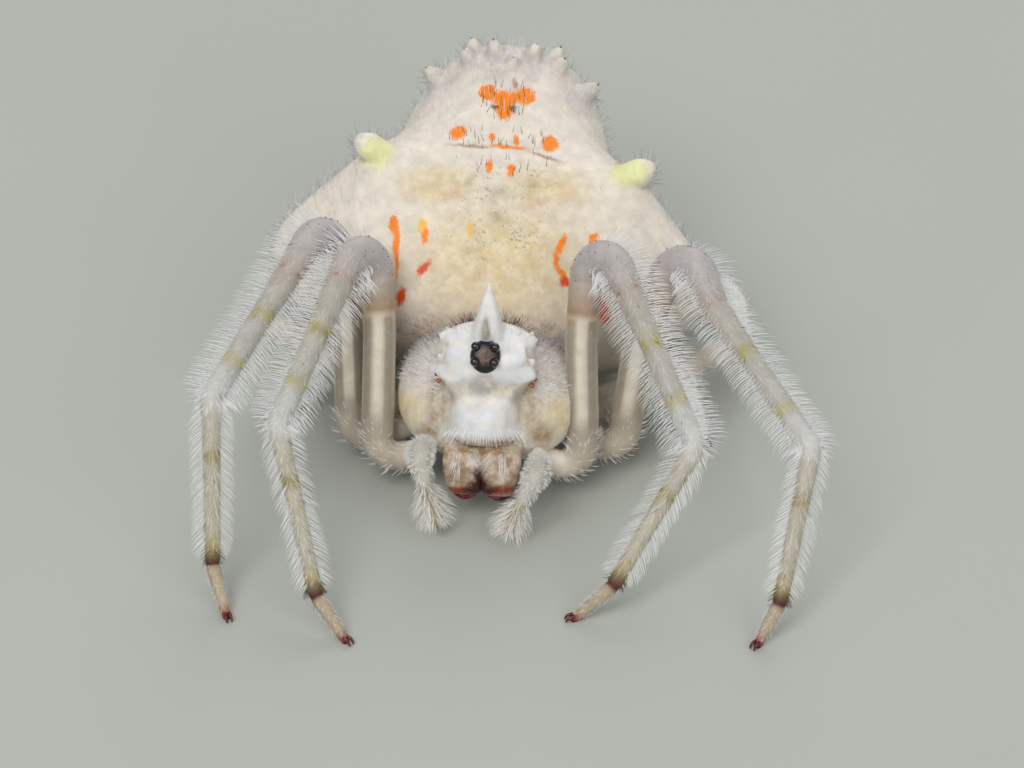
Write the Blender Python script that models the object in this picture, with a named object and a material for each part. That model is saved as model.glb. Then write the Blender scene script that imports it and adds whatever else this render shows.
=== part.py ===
"""Magnificent spider, a white bolas spider at life size, standing with its front legs held forward.

Points and sizes are in millimetres, measured from the spot on the ground under the eyes. The spider
faces -Y, with +X on its own left and +Z up. Its belly and the tips of its eight feet lie on one level,
z = 0. The row's origin is the middle of the flat under the belly, BELLY_Y behind the eyes.
"""

import math
import random

import bmesh
import bpy
from mathutils import Matrix, Vector
from mathutils.bvhtree import BVHTree

MM = 0.001
BELLY_Y = 5.6
GAP = 0.05
GROUND_REACH = 20.0
SEED = 7
UP = Vector((0.0, 0.0, 1.0))
RAY_STEP = 1e-6

# Prosoma behind the face, from front to back: y, half width, top, widest level, underside
THORAX = (
    (-0.62, 0.00, 2.05, 2.05, 2.05),
    (-0.48, 0.88, 2.75, 1.95, 1.35),
    (0.00, 1.70, 3.12, 1.85, 0.85),
    (0.70, 2.08, 3.42, 1.85, 0.55),
    (1.50, 2.15, 3.42, 1.85, 0.45),
    (2.30, 1.92, 2.90, 1.80, 0.50),
    (2.95, 1.32, 2.30, 1.65, 0.75),
    (3.30, 0.00, 1.55, 1.55, 1.55),
)
# Face, crown and tall spike, from the clypeus edge up: z, half width, front y, back y
HEAD = (
    (2.00, 0.60, -0.80, 1.20),
    (2.20, 0.72, -0.98, 1.25),
    (2.60, 0.76, -1.01, 1.35),
    (2.95, 0.80, -0.92, 1.45),
    (3.15, 0.96, -0.62, 1.50),
    (3.40, 1.07, -0.38, 1.55),
    (3.70, 1.05, -0.24, 1.45),
    (3.90, 0.99, -0.10, 1.35),
    (4.05, 0.76, 0.10, 1.20),
    (4.15, 0.42, 0.30, 1.10),
    (4.35, 0.31, 0.42, 1.08),
    (4.65, 0.23, 0.62, 1.10),
    (4.95, 0.14, 0.80, 1.12),
)
SPIKE_TIP = (0.0, 1.05, 5.32)
# The short spine over the eyes and the small teeth along the rim of the crown: root, tip and radius at
# the root; those off the middle are mirrored
CROWN_TEETH = (
    ((0.0, 0.38, 4.22), (0.0, 0.20, 4.95), 0.12),
    ((1.00, 0.78, 3.80), (1.11, 0.80, 3.95), 0.12),
    ((0.84, 0.80, 3.94), (0.89, 0.80, 4.09), 0.10),
    ((0.66, 0.80, 4.02), (0.69, 0.80, 4.17), 0.10),
    ((0.48, 0.80, 4.08), (0.50, 0.80, 4.21), 0.09),
    ((1.02, 0.30, 3.66), (1.13, 0.26, 3.75), 0.11),
    ((0.92, 1.10, 3.72), (1.00, 1.16, 3.86), 0.12),
)
# Abdomen, from front to back: y, half width, top, widest level, underside
ABDOMEN = (
    (2.05, 0.00, 2.75, 2.75, 2.75),
    (2.20, 1.45, 3.40, 2.75, 2.10),
    (2.70, 2.95, 4.10, 2.80, 1.20),
    (3.40, 4.40, 4.75, 2.90, 0.30),
    (4.30, 5.12, 5.15, 3.05, -0.10),
    (5.20, 4.65, 5.50, 3.25, -0.20),
    (6.10, 3.55, 5.75, 3.50, -0.15),
    (7.00, 2.70, 6.00, 3.90, 0.05),
    (7.90, 2.35, 6.30, 4.30, 0.80),
    (8.70, 1.95, 6.35, 4.70, 2.20),
    (9.20, 1.10, 5.90, 4.90, 3.70),
    (9.35, 0.00, 4.95, 4.95, 4.95),
)
# The abdomen leans a little: turned about its front end, and moved sideways
ABDOMEN_ROLL = math.radians(3.5)
ABDOMEN_PIVOT = (0.0, 2.6, 3.0)
ABDOMEN_SHIFT = -0.28
# Swellings under the shoulder knobs: x, y, height and spread
SHOULDER_HUMPS = ((2.90, 5.40, 0.38, 1.00), (-2.75, 5.30, 0.38, 1.00))
# Knobs of the shoulders and tubercles of the abdomen: root x, root y, height, radius at the root; the
# tubercles off the middle are mirrored, and the knobs lean outwards from the skin's own direction
SHOULDER_KNOBS = ((2.90, 5.40, 0.66, 0.40), (-2.75, 5.30, 0.66, 0.40))
KNOB_LEAN = (0.5, 0.0, -0.3)
TUBERCLES = (
    (1.75, 8.10, 0.42, 0.30),
    (1.05, 8.30, 0.36, 0.26),
    (0.45, 8.42, 0.38, 0.26),
    (0.00, 8.05, 0.22, 0.22),
    (0.95, 8.72, 0.30, 0.24),
)
# Corners of the legs' paths, from the hip to the toe. The front femora bow a little, and the left second
# leg also turns at the end of its patella
FRONT_LEGS = {
    "leg1_right": {
        "hip": (-1.30, 0.10, 1.00),
        "trochanter": (-2.51, -0.05, 0.79),
        "femur": (-2.57, 1.48, 3.34),
        "knee": (-2.82, 3.00, 5.89),
        "ankle": (-4.49, -1.95, 3.29),
        "tarsus": (-3.35, -4.75, 0.80),
        "toe": (-2.62, -5.36, 0.00),
    },
    "leg1_left": {
        "hip": (1.30, 0.10, 1.00),
        "trochanter": (2.24, 0.00, 0.71),
        "femur": (2.06, 1.52, 3.41),
        "knee": (2.16, 3.05, 6.10),
        "ankle": (4.86, -1.50, 2.96),
        "tarsus": (3.20, -3.89, 0.80),
        "toe": (2.34, -4.21, 0.00),
    },
    "leg2_right": {
        "hip": (-1.75, 1.10, 1.00),
        "trochanter": (-3.16, 0.70, 0.64),
        "femur": (-3.36, 1.95, 3.11),
        "knee": (-3.84, 3.20, 5.58),
        "ankle": (-5.99, -1.75, 3.80),
        "tarsus": (-5.77, -3.98, 0.80),
        "toe": (-5.36, -4.82, 0.00),
    },
    "leg2_left": {
        "hip": (1.75, 1.10, 1.00),
        "trochanter": (3.06, 0.85, 0.68),
        "femur": (3.39, 1.95, 3.14),
        "knee": (4.29, 3.05, 5.61),
        "patella": (5.06, 1.63, 4.47),
        "ankle": (7.44, -1.45, 3.05),
        "tarsus": (6.92, -4.12, 0.80),
        "toe": (6.47, -4.70, 0.00),
    },
}
HIND_LEGS = {
    "leg3": {
        "hip": (1.80, 1.75, 0.95),
        "trochanter": (2.60, 1.86, 0.92),
        "knee": (4.15, 2.30, 2.20),
        "ankle": (4.55, 2.35, 1.05),
        "tarsus": (4.78, 2.24, 0.40),
        "toe": (4.95, 2.05, 0.00),
    },
    "leg4": {
        "hip": (1.60, 2.35, 0.80),
        "trochanter": (2.45, 2.62, 0.70),
        "knee": (5.55, 3.50, 1.80),
        "ankle": (5.45, 6.30, 0.95),
        "tarsus": (5.10, 7.40, 0.42),
        "toe": (4.75, 8.10, 0.00),
    },
}
# Radii of the bends at the corners
FRONT_BENDS = {"trochanter": 0.45, "femur": 8.0, "knee": 0.58, "patella": 0.90, "ankle": 0.45, "tarsus": 0.60}
HIND_BENDS = {"trochanter": 0.36, "knee": 0.42, "ankle": 0.30, "tarsus": 0.40}
# Radius of the leg at the hip, trochanter, knee, end of the patella, middle of the tibia, ankle,
# tarsal joint and toe
FRONT_RADII = (0.30, 0.41, 0.41, 0.38, 0.33, 0.27, 0.21, 0.10)
HIND_RADII = (0.26, 0.32, 0.31, 0.28, 0.26, 0.21, 0.17, 0.09)
# Depth of the matted hair round a shin or foot, from which the locks rise
FRONT_COAT = 0.10
HIND_COAT = 0.07
# Pedipalps: corners of their paths, and radii
PALP_CORNERS = ("hip", "elbow", "wrist", "tip")
PALP_PATHS = {
    "right": ((-1.25, -0.35, 1.60), (-1.58, -1.02, 1.98), (-1.36, -1.42, 1.28), (-1.10, -1.74, 0.36)),
    "left": ((1.25, -0.35, 1.55), (1.42, -1.12, 1.70), (1.10, -1.64, 1.08), (0.66, -1.86, 0.32)),
}
PALP_RADII = (0.16, 0.24, 0.22, 0.15)
PALP_COAT = 0.05
PALP_BEND = 0.34
# Rows of locks along a limb: degrees round it from its side, locks in the row, their length
LOCK_ROWS = {
    "front_shin": ((0, 12, 0.66), (180, 12, 0.66), (60, 4, 0.46), (120, 4, 0.46), (270, 5, 0.46)),
    "front_foot": ((0, 9, 0.50), (180, 9, 0.50), (90, 4, 0.34), (270, 4, 0.34)),
    "hind_shin": ((0, 5, 0.42), (180, 5, 0.42), (90, 3, 0.32)),
    "hind_foot": ((0, 4, 0.34), (180, 4, 0.34), (90, 2, 0.26)),
    "palp": ((0, 5, 0.34), (72, 4, 0.34), (144, 4, 0.34), (216, 4, 0.34), (288, 4, 0.34)),
}
# A lock's width and thickness at the root, its sunk root, and the share of its length that it bends over
LOCK_WIDTH = 0.36
LOCK_THICKNESS = 0.12
LOCK_SINK = 0.16
LOCK_BEND = 0.55
LOCK_SPREAD = 0.16
# A lock keeps this far to its own side of the gap to the next piece, and this far above the ground
LOCK_ROOM = 0.06
SHORTENED = (1.0, 0.82, 0.66, 0.52, 0.40)
# Chelicerae: centre x, y, z, half width and half depth, from under the clypeus to the tip
CHELICERA = (
    (0.45, -0.66, 1.96, 0.39, 0.32),
    (0.47, -0.82, 1.74, 0.43, 0.40),
    (0.47, -0.92, 1.46, 0.43, 0.42),
    (0.45, -0.96, 1.20, 0.42, 0.40),
    (0.43, -0.97, 0.99, 0.38, 0.34),
    (0.42, -0.96, 0.85, 0.27, 0.24),
)
FANG = ((0.62, -0.98, 0.71), (0.38, -1.06, 0.66), (0.12, -1.02, 0.71))
FANG_RADII = (0.09, 0.08, 0.03)
# Eyes: centre and radius on the left side
TURRET_BASE = (0.0, 0.22, 3.80)
TURRET_AXIS = (0.0, -0.76, 0.65)
TURRET_PROFILE = ((0.0, 0.36), (0.22, 0.35), (0.36, 0.32), (0.43, 0.23))
MEDIAN_EYES = {"upper": ((0.215, 0.05, 4.23), 0.10), "lower": ((0.215, -0.175, 3.97), 0.10)}
LATERAL_EYES = {"front": ((1.02, 0.00, 3.20), 0.07), "rear": ((1.09, 0.15, 3.28), 0.06)}
SOCKET_GAP = 0.02
# Spinnerets: root and tip on the left side, radius at the root
SPINNERETS = (
    ((0.16, 7.72, 0.62), (0.20, 7.86, 0.22), 0.17),
    ((0.15, 7.98, 0.70), (0.17, 8.14, 0.34), 0.14),
)


def to_row(point):
    """Millimetres from the spot under the eyes to metres in the row's frame."""
    x, y, z = point
    return Vector((x, y - BELLY_Y, z)) * MM


def sided(point, side):
    return Vector((side * point[0], point[1], point[2]))


def spline(rows, position):
    """A smooth row between the given ones; position counts rows."""
    last = len(rows) - 1
    i = min(int(position), last - 1)
    t = position - i
    near = [rows[max(0, min(last, i + k))] for k in (-1, 0, 1, 2)]
    values = []
    for a, b, c, d in zip(*near):
        curve = (2 * a - 5 * b + 4 * c - d) * t * t + (3 * b - a - 3 * c + d) * t**3
        values.append(0.5 * (2 * b + (c - a) * t + curve))
    return values


def make_object(name, mesh_builder, material):
    mesh = bpy.data.meshes.new(name)
    obj = bpy.data.objects.new(name, mesh)
    bpy.context.scene.collection.objects.link(obj)
    builder = bmesh.new()
    mesh_builder(builder)
    bmesh.ops.recalc_face_normals(builder, faces=builder.faces)
    bmesh.ops.triangulate(builder, faces=builder.faces)
    builder.to_mesh(mesh)
    builder.free()
    if material:
        mesh.materials.append(material)
    return obj


def loft(builder, rings, first_tip=None, last_tip=None):
    """A closed skin over rings of equal count, ended by flat caps or by tips."""
    made = [[builder.verts.new(to_row(point)) for point in ring] for ring in rings]
    count = len(rings[0])
    for lower, upper in zip(made, made[1:]):
        for i in range(count):
            j = (i + 1) % count
            builder.faces.new((lower[i], lower[j], upper[j], upper[i]))
    for ring, tip in ((made[0], first_tip), (made[-1], last_tip)):
        if tip is None:
            builder.faces.new(ring)
            continue
        end = builder.verts.new(to_row(tip))
        for i in range(count):
            builder.faces.new((ring[i], ring[(i + 1) % count], end))


def circle(centre, across, along, count):
    """Points round a centre, with the two half axes given as vectors."""
    angles = [2 * math.pi * i / count for i in range(count)]
    return [Vector(centre) + across * math.cos(angle) + along * math.sin(angle) for angle in angles]


def union(obj, others):
    combine(obj, others, "UNION")
    keep_largest(obj)


def combine(obj, others, operation):
    """One Boolean on a collection of closed meshes, applied, after which they are removed."""
    group = bpy.data.collections.new(obj.name + "_tools")
    for other in others:
        group.objects.link(other)
    modifier = obj.modifiers.new(operation, "BOOLEAN")
    modifier.operation = operation
    modifier.operand_type = "COLLECTION"
    modifier.collection = group
    modifier.solver = "MANIFOLD"
    bpy.context.view_layer.update()
    graph = bpy.context.evaluated_depsgraph_get()
    mesh = bpy.data.meshes.new_from_object(obj.evaluated_get(graph))
    obj.modifiers.clear()
    obj.data = mesh
    for other in others:
        bpy.data.objects.remove(other)
    bpy.data.collections.remove(group)


def keep_largest(obj):
    """Leaves only the largest closed surface of a mesh."""
    builder = bmesh.new()
    builder.from_mesh(obj.data)
    unseen = set(builder.faces)
    shells = []
    while unseen:
        shell = {unseen.pop()}
        front = list(shell)
        while front:
            face = front.pop()
            for edge in face.edges:
                for other in edge.link_faces:
                    if other in unseen:
                        unseen.discard(other)
                        shell.add(other)
                        front.append(other)
        shells.append(shell)
    shells.sort(key=lambda shell: sum(face.calc_area() for face in shell))
    for shell in shells[:-1]:
        bmesh.ops.delete(builder, geom=list(shell), context="FACES")
    builder.to_mesh(obj.data)
    builder.free()


def cut_clear(obj, cutters):
    combine(obj, cutters, "DIFFERENCE")
    keep_largest(obj)


def surface(name, colour, roughness):
    material = bpy.data.materials.new(name)
    material.use_nodes = True
    shader = material.node_tree.nodes["Principled BSDF"]
    shader.inputs["Base Color"].default_value = (*colour, 1.0)
    shader.inputs["Roughness"].default_value = roughness
    shader.inputs["Metallic"].default_value = 0.0
    return material


def body_ring(row, count, grow):
    """A ring across the body from half width, top, widest level and underside."""
    y, half, top, middle, under = row
    ring = []
    for i in range(count):
        angle = 2 * math.pi * (i + 0.5) / count
        x = (half + grow) * math.cos(angle)
        rise = math.sin(angle)
        reach = (top - middle if rise > 0 else middle - under) + grow
        ring.append(Vector((x, y, middle + reach * rise)))
    return ring


def body_loft(builder, rows, count, per_row, grow=0.0, humps=()):
    """A rounded body from its rows; the first and last rows are its poles."""
    rings = []
    steps = (len(rows) - 1) * per_row
    for step in range(1, steps):
        ring = body_ring(spline(rows, step / per_row), count, grow)
        rings.append([swollen(point, humps) for point in ring])
    front, back = rows[0], rows[-1]
    first = (0.0, front[0] - grow, front[3])
    last = (0.0, back[0] + grow, back[3])
    loft(builder, rings, first, last)


def swollen(point, humps):
    """The point moved out where it lies on a swelling of the abdomen."""
    for x, y, height, spread in humps:
        root = Vector((x, y, abdomen_top(x, y)))
        rise = height * math.exp(-((point - root).length / spread) ** 2)
        point = point + abdomen_normal(x, y) * rise
    return point


def head_loft(builder, count, per_row, grow=0.0):
    """Face, crown and spike from level slices; the slices are squarer than an ellipse across the face."""
    rings = []
    steps = (len(HEAD) - 1) * per_row
    for step in range(steps + 1):
        z, half, front, back = spline(HEAD, step / per_row)
        middle = (front + back) / 2
        reach = (back - front) / 2
        ring = []
        for i in range(count):
            angle = 2 * math.pi * (i + 0.5) / count
            c, s = math.cos(angle), math.sin(angle)
            x = (half + grow) * math.copysign(abs(c) ** 0.8, c)
            y = middle + (reach + grow) * math.copysign(abs(s) ** 0.8, s)
            ring.append(Vector((x, y, z - (grow if step == 0 else 0.0))))
        rings.append(ring)
    loft(builder, rings, None, SPIKE_TIP)


def cone(builder, root, tip, radius, count=7, sink=0.12, waist=0.55):
    """A blunt spine: a root ring sunk under the skin, a waist and a tip."""
    root, tip = Vector(root), Vector(tip)
    along = (tip - root).normalized()
    across = along.orthogonal().normalized()
    other = along.cross(across)
    rings = []
    for share, size in ((-sink / (tip - root).length, 1.0), (0.45, waist), (0.85, waist * 0.45)):
        centre = root.lerp(tip, share)
        rings.append(circle(centre, across * radius * size, other * radius * size, count))
    loft(builder, rings, None, tip)


def abdomen_top(x, y):
    """The height of the abdomen's upper side over x, y."""
    low, high = 0.0, len(ABDOMEN) - 1.0
    for _ in range(40):
        middle = (low + high) / 2
        if spline(ABDOMEN, middle)[0] < y:
            low = middle
        else:
            high = middle
    _, half, top, level, _ = spline(ABDOMEN, low)
    return level + (top - level) * math.sqrt(max(0.0, 1 - (x / half) ** 2))


def abdomen_normal(x, y):
    step = 0.05
    along_x = (abdomen_top(x + step, y) - abdomen_top(x - step, y)) / (2 * step)
    along_y = (abdomen_top(x, y + step) - abdomen_top(x, y - step)) / (2 * step)
    return Vector((-along_x, -along_y, 1.0)).normalized()


def rounded_path(corners, bends, step=0.42, arc_step=0.26):
    """Points along straight runs joined by arcs, and where each corner's arc begins and ends along it."""
    names = list(corners)
    points = [Vector(corners[names[0]])]
    marks = {}
    for before, name, after in zip(names, names[1:], names[2:]):
        corner, bend = Vector(corners[name]), bends[name]
        back = (Vector(corners[before]) - corner).normalized()
        ahead = (Vector(corners[after]) - corner).normalized()
        half = back.angle(ahead) / 2
        reach = bend / math.tan(half)
        start, end = corner + back * reach, corner + ahead * reach
        centre = corner + (back + ahead).normalized() * (bend / math.sin(half))
        add_run(points, start, step)
        entered = length_of(points)
        turn = math.pi - 2 * half
        count = max(2, round(turn * bend / arc_step))
        axis = (start - centre).cross(end - centre).normalized()
        for k in range(1, count + 1):
            points.append(centre + Matrix.Rotation(turn * k / count, 3, axis) @ (start - centre))
        marks[name] = (entered, length_of(points))
    add_run(points, Vector(corners[names[-1]]), step)
    return points, marks


def add_run(points, end, step):
    start = points[-1]
    count = max(1, round((end - start).length / step))
    for k in range(1, count + 1):
        points.append(start.lerp(end, k / count))


def length_of(points):
    return sum((b - a).length for a, b in zip(points, points[1:]))


class Limb:
    """A bent limb: its path, the frame at any distance along it, and its radius there."""

    def __init__(self, corners, bends, plane, radius_at):
        self.points, self.marks = rounded_path(corners, bends)
        self.length = length_of(self.points)
        self.radius_at = radius_at
        self.stations = [0.0]
        for a, b in zip(self.points, self.points[1:]):
            self.stations.append(self.stations[-1] + (b - a).length)
        self.tangents = []
        for i in range(len(self.points)):
            before = self.points[max(0, i - 1)]
            after = self.points[min(len(self.points) - 1, i + 1)]
            self.tangents.append((after - before).normalized())
        first, middle, last = (Vector(corners[name]) for name in plane)
        side = (middle - first).cross(last - middle).normalized()
        self.sides = []
        for tangent in self.tangents:
            side = (side - tangent * side.dot(tangent)).normalized()
            self.sides.append(side)

    def frame(self, distance):
        """Centre, tangent, sideways and outward-bend directions at a distance along the limb."""
        distance = min(max(distance, 0.0), self.length)
        i = 0
        while i < len(self.stations) - 2 and self.stations[i + 1] < distance:
            i += 1
        t = (distance - self.stations[i]) / (self.stations[i + 1] - self.stations[i])
        tangent = self.tangents[i].lerp(self.tangents[i + 1], t).normalized()
        side = self.sides[i].lerp(self.sides[i + 1], t)
        side = (side - tangent * side.dot(tangent)).normalized()
        return self.points[i].lerp(self.points[i + 1], t), tangent, side, tangent.cross(side)

    def ring(self, distance, count, grow=0.0):
        centre, _, side, back = self.frame(distance)
        radius = self.radius_at(self, distance) + grow
        return circle(centre, side * radius, back * radius, count)

    def between(self, start, end):
        inner = [s for s in self.stations if start + 0.12 < s < end - 0.12]
        return [start, *inner, end]


def stepped(values, distance):
    """A value read from pairs of distance and value, straight between them."""
    for (a, low), (b, high) in zip(values, values[1:]):
        if distance <= b:
            return low + (high - low) * max(0.0, (distance - a) / (b - a))
    return values[-1][1]


def leg_radius(radii, coat):
    hip, trochanter, knee, patella, tibia, ankle, tarsus, toe = radii

    def at(limb, distance):
        marks = limb.marks
        values = (
            (0.0, hip),
            (marks["trochanter"][1], trochanter),
            (marks["knee"][0], knee),
            (marks["knee"][1], patella + coat * 0.4),
            ((marks["knee"][1] + marks["ankle"][0]) / 2, tibia + coat),
            (marks["ankle"][0], ankle + coat),
            (marks["tarsus"][0], tarsus + coat * 0.4),
            (limb.length - 0.3, toe * 1.4),
            (limb.length, toe),
        )
        return stepped(values, distance)

    return at


def limb_piece(name, limb, start, end, sides, material, on_ground=False, grow=0.0):
    def build(builder):
        rings = [limb.ring(s, sides, grow) for s in limb.between(start, end)]
        if on_ground:
            rings[-1] = [Vector((p.x, p.y, 0.0)) for p in rings[-1]]
            rings[:-1] = [[Vector((p.x, p.y, max(p.z, 0.03))) for p in ring] for ring in rings[:-1]]
        loft(builder, rings)

    return make_object(name, build, material)


def make_leg(name, corners, bends, radii, coat, sides, materials):
    """Femur, shin and foot of one leg, meeting at the knee and the ankle, with the coats of shin and foot."""
    limb = Limb(corners, bends, ("trochanter", "knee", "ankle"), leg_radius(radii, coat))
    knee, ankle = limb.marks["knee"][0], limb.marks["ankle"][0]
    femur = limb_piece(name + "_femur", limb, 0.0, knee - GAP / 2, sides, materials["femur"])
    shin = limb_piece(name + "_shin", limb, knee + GAP / 2, ankle - GAP / 2, sides, materials["shin"])
    foot = limb_piece(name + "_foot", limb, ankle + GAP / 2, limb.length, sides, materials["foot"], True)
    place = "front" if name in FRONT_LEGS else "hind"
    coats = [
        Coat(shin, limb, limb.marks["knee"][1] - 0.2, ankle, place + "_shin"),
        Coat(foot, limb, ankle, limb.marks["tarsus"][0], place + "_foot"),
    ]
    return [femur, shin, foot], coats


class Coat:
    """A stretch of a limb, inside one node, that carries rows of locks."""

    def __init__(self, obj, limb, start, end, kind):
        self.obj, self.limb, self.start, self.end = obj, limb, start, end
        self.rows = LOCK_ROWS[kind]


def faces_of(objects):
    """The faces of some objects as one search tree, in the row's metres."""
    points, faces = [], []
    for obj in objects:
        first = len(points)
        points += [vertex.co.copy() for vertex in obj.data.vertices]
        faces += [[first + i for i in face.vertices] for face in obj.data.polygons]
    return BVHTree.FromPolygons(points, faces)


def is_inside(tree, point):
    """Whether a point lies inside one of the tree's closed solids, from the faces straight above it."""
    spot = to_row(point)
    crossed = 0
    while spot is not None:
        spot = tree.ray_cast(spot, UP)[0]
        if spot is not None:
            crossed += 1
            spot = spot + UP * RAY_STEP
    return crossed % 2 == 1


def height_over(tree, point):
    """Millimetres from a point outside the tree's solids to the nearest face, and none from one inside."""
    return 0.0 if is_inside(tree, point) else tree.find_nearest(to_row(point))[3] / MM


def lock_centre(root, out, lean, length, share):
    return root + out * length * share + lean * length * LOCK_BEND * max(0.0, share) ** 2


def lock_fits(root, out, lean, length, own, others):
    """Whether a lock stays on its own side of the gaps to other pieces and above the ground."""
    for share, half in ((0.25, 0.45), (0.6, 0.3), (1.0, 0.0)):
        centre = lock_centre(root, out, lean, length, share)
        for edge in (-1, 1):
            point = centre + lean * LOCK_WIDTH * half * edge
            if point.z < LOCK_ROOM:
                return False
            if height_over(others, point) < height_over(own, point) + LOCK_ROOM:
                return False
    return True


def add_lock(builder, root, out, lean, length):
    """A flat, tapered lock of three sides, its root sunk in the core, bent over towards its lean."""
    across = out.cross(lean).normalized()
    rings = []
    for share, size in ((-LOCK_SINK / length, 1.0), (0.5, 0.72)):
        centre = lock_centre(root, out, lean, length, share)
        half = lean * LOCK_WIDTH * 0.5 * size
        rings.append([centre - half, centre + half, centre + across * LOCK_THICKNESS * size])
    loft(builder, rings, None, lock_centre(root, out, lean, length, 1.0))


def grow_coat(coat, bodies):
    """Fuses a coat's locks into its node, each shortened or left out where there is no room for it."""
    own = faces_of([coat.obj])
    others = faces_of([body for body in bodies if body != coat.obj])
    locks = []
    for degrees, count, length in coat.rows:
        for k in range(count):
            shift = random.uniform(-0.25, 0.25)
            distance = coat.start + (coat.end - coat.start) * (k + 0.5 + shift) / count
            centre, tangent, side, back = coat.limb.frame(distance)
            angle = math.radians(degrees) + random.uniform(-LOCK_SPREAD, LOCK_SPREAD)
            out = side * math.cos(angle) + back * math.sin(angle)
            root = centre + out * coat.limb.radius_at(coat.limb, distance)
            out = (out + tangent * random.uniform(0.15, 0.40)).normalized()
            lean = (tangent - out * tangent.dot(out)).normalized()
            wanted = length * random.uniform(0.85, 1.1)
            for share in SHORTENED:
                if lock_fits(root, out, lean, wanted * share, own, others):
                    locks.append((root, out, lean, wanted * share))
                    break
    pieces = [make_object("lock", lambda b: add_lock(b, *lock), None) for lock in locks]
    if pieces:
        union(coat.obj, pieces)


def make_prosoma(name, material, grow=0.0, teeth=True):
    body = make_object(name, lambda b: body_loft(b, THORAX, 28, 2, grow), material)
    parts = [make_object("head", lambda b: head_loft(b, 24, 2, grow), None)]
    if teeth:
        for root, tip, radius in CROWN_TEETH:
            for side in (1, -1) if root[0] else (1,):
                at, to = sided(root, side), sided(tip, side)
                parts.append(make_object("tooth", lambda b: cone(b, at, to, radius), None))
    union(body, parts)
    return body


def swing_abdomen(obj):
    """Leans the finished abdomen to its pose and cuts it level with the ground."""
    pivot = to_row(ABDOMEN_PIVOT)
    turn = Matrix.Translation(pivot) @ Matrix.Rotation(ABDOMEN_ROLL, 4, "Y") @ Matrix.Translation(-pivot)
    obj.data.transform(Matrix.Translation((ABDOMEN_SHIFT * MM, 0.0, 0.0)) @ turn)
    cut_clear(obj, [ground_block()])


def ground_block():
    """A cutter whose top face is the ground."""
    def build(builder):
        bmesh.ops.create_cube(builder, size=2 * GROUND_REACH * MM)
        bmesh.ops.translate(builder, verts=builder.verts, vec=(0.0, 0.0, -GROUND_REACH * MM))

    return make_object("ground_block", build, None)


def abdomen_loft(builder, grow=0.0):
    body_loft(builder, ABDOMEN, 30, 2, grow, SHOULDER_HUMPS)


def abdomen_knob(x, y, height, radius, count, waist, swelling=0.0, lean=(0.0, 0.0, 0.0)):
    """A tubercle of the abdomen, on top of a swelling, and leaning from the skin's direction."""
    out = abdomen_normal(x, y)
    root = Vector((x, y, abdomen_top(x, y))) + out * swelling
    tip = root + (out + sided(lean, math.copysign(1.0, x))).normalized() * height
    return make_object("tubercle", lambda b: cone(b, root, tip, radius, count, 0.2 + swelling, waist), None)


def make_abdomen(materials):
    body = make_object("abdomen", abdomen_loft, materials["abdomen"])
    parts = [abdomen_knob(*knob, 9, 0.85, SHOULDER_HUMPS[0][2], KNOB_LEAN) for knob in SHOULDER_KNOBS]
    for x, y, height, radius in TUBERCLES:
        for side in (1, -1) if x else (1,):
            parts.append(abdomen_knob(side * x, y, height, radius, 7, 0.70))
    union(body, parts)
    swing_abdomen(body)
    return body


def make_turret(material):
    axis = Vector(TURRET_AXIS).normalized()
    across = Vector((1.0, 0.0, 0.0))
    other = axis.cross(across)
    base = Vector(TURRET_BASE)

    def build(builder):
        rings = [circle(base + axis * rise, across * r, other * r * 1.1, 16) for rise, r in TURRET_PROFILE]
        loft(builder, rings)

    return make_object("eye_turret", build, material)


def ball(name, centre, radius, material, rings=7, count=12):
    def build(builder):
        made = bmesh.ops.create_uvsphere(builder, u_segments=count, v_segments=rings, radius=radius * MM)
        bmesh.ops.translate(builder, verts=made["verts"], vec=to_row(centre))

    return make_object(name, build, material)


def make_eyes(turret, prosoma, material):
    """The four eyes of the turret and the small pair at each side, each in a socket."""
    for place, (centre, radius) in MEDIAN_EYES.items():
        for side, word in ((1, "left"), (-1, "right")):
            cut_clear(turret, [ball("socket", sided(centre, side), radius + SOCKET_GAP, None)])
            ball(f"eye_median_{place}_{word}", sided(centre, side), radius, material)
    for place, (centre, radius) in LATERAL_EYES.items():
        for side, word in ((1, "left"), (-1, "right")):
            cut_clear(prosoma, [ball("socket", sided(centre, side), radius + SOCKET_GAP, None)])
            ball(f"eye_lateral_{place}_{word}", sided(centre, side), radius, material, 6, 10)


def make_chelicera(side, word, material):
    def build(builder):
        rings = []
        for step in range((len(CHELICERA) - 1) * 2 + 1):
            x, y, z, half, deep = spline(CHELICERA, step / 2)
            across, along = Vector((half, 0.0, 0.0)), Vector((0.0, deep, 0.0))
            rings.append(circle((side * x, y, z), across, along, 14))
        loft(builder, rings)

    return make_object("chelicera_" + word, build, material)


def make_fang(side, word, material):
    def build(builder):
        rings = []
        for point, radius in zip(FANG, FANG_RADII):
            across, along = Vector((0.0, radius, 0.0)), Vector((0.0, 0.0, radius))
            rings.append(circle(sided(point, side), across, along, 8))
        loft(builder, rings)

    return make_object("fang_" + word, build, material)


def make_palp(word, material):
    def radius(limb, distance):
        root, elbow, middle, tip = PALP_RADII
        values = (
            (0.0, root),
            (limb.marks["elbow"][0], elbow + PALP_COAT),
            (limb.marks["wrist"][1], middle + PALP_COAT),
            (limb.length - 0.2, middle + PALP_COAT * 0.5),
            (limb.length, tip),
        )
        return stepped(values, distance)

    corners = dict(zip(PALP_CORNERS, PALP_PATHS[word]))
    limb = Limb(corners, {"elbow": PALP_BEND, "wrist": PALP_BEND}, PALP_CORNERS[1:], radius)
    palp = limb_piece("palp_" + word, limb, 0.0, limb.length, 10, material)
    return palp, Coat(palp, limb, limb.marks["elbow"][0] - 0.2, limb.length - 0.2, "palp")


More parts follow.
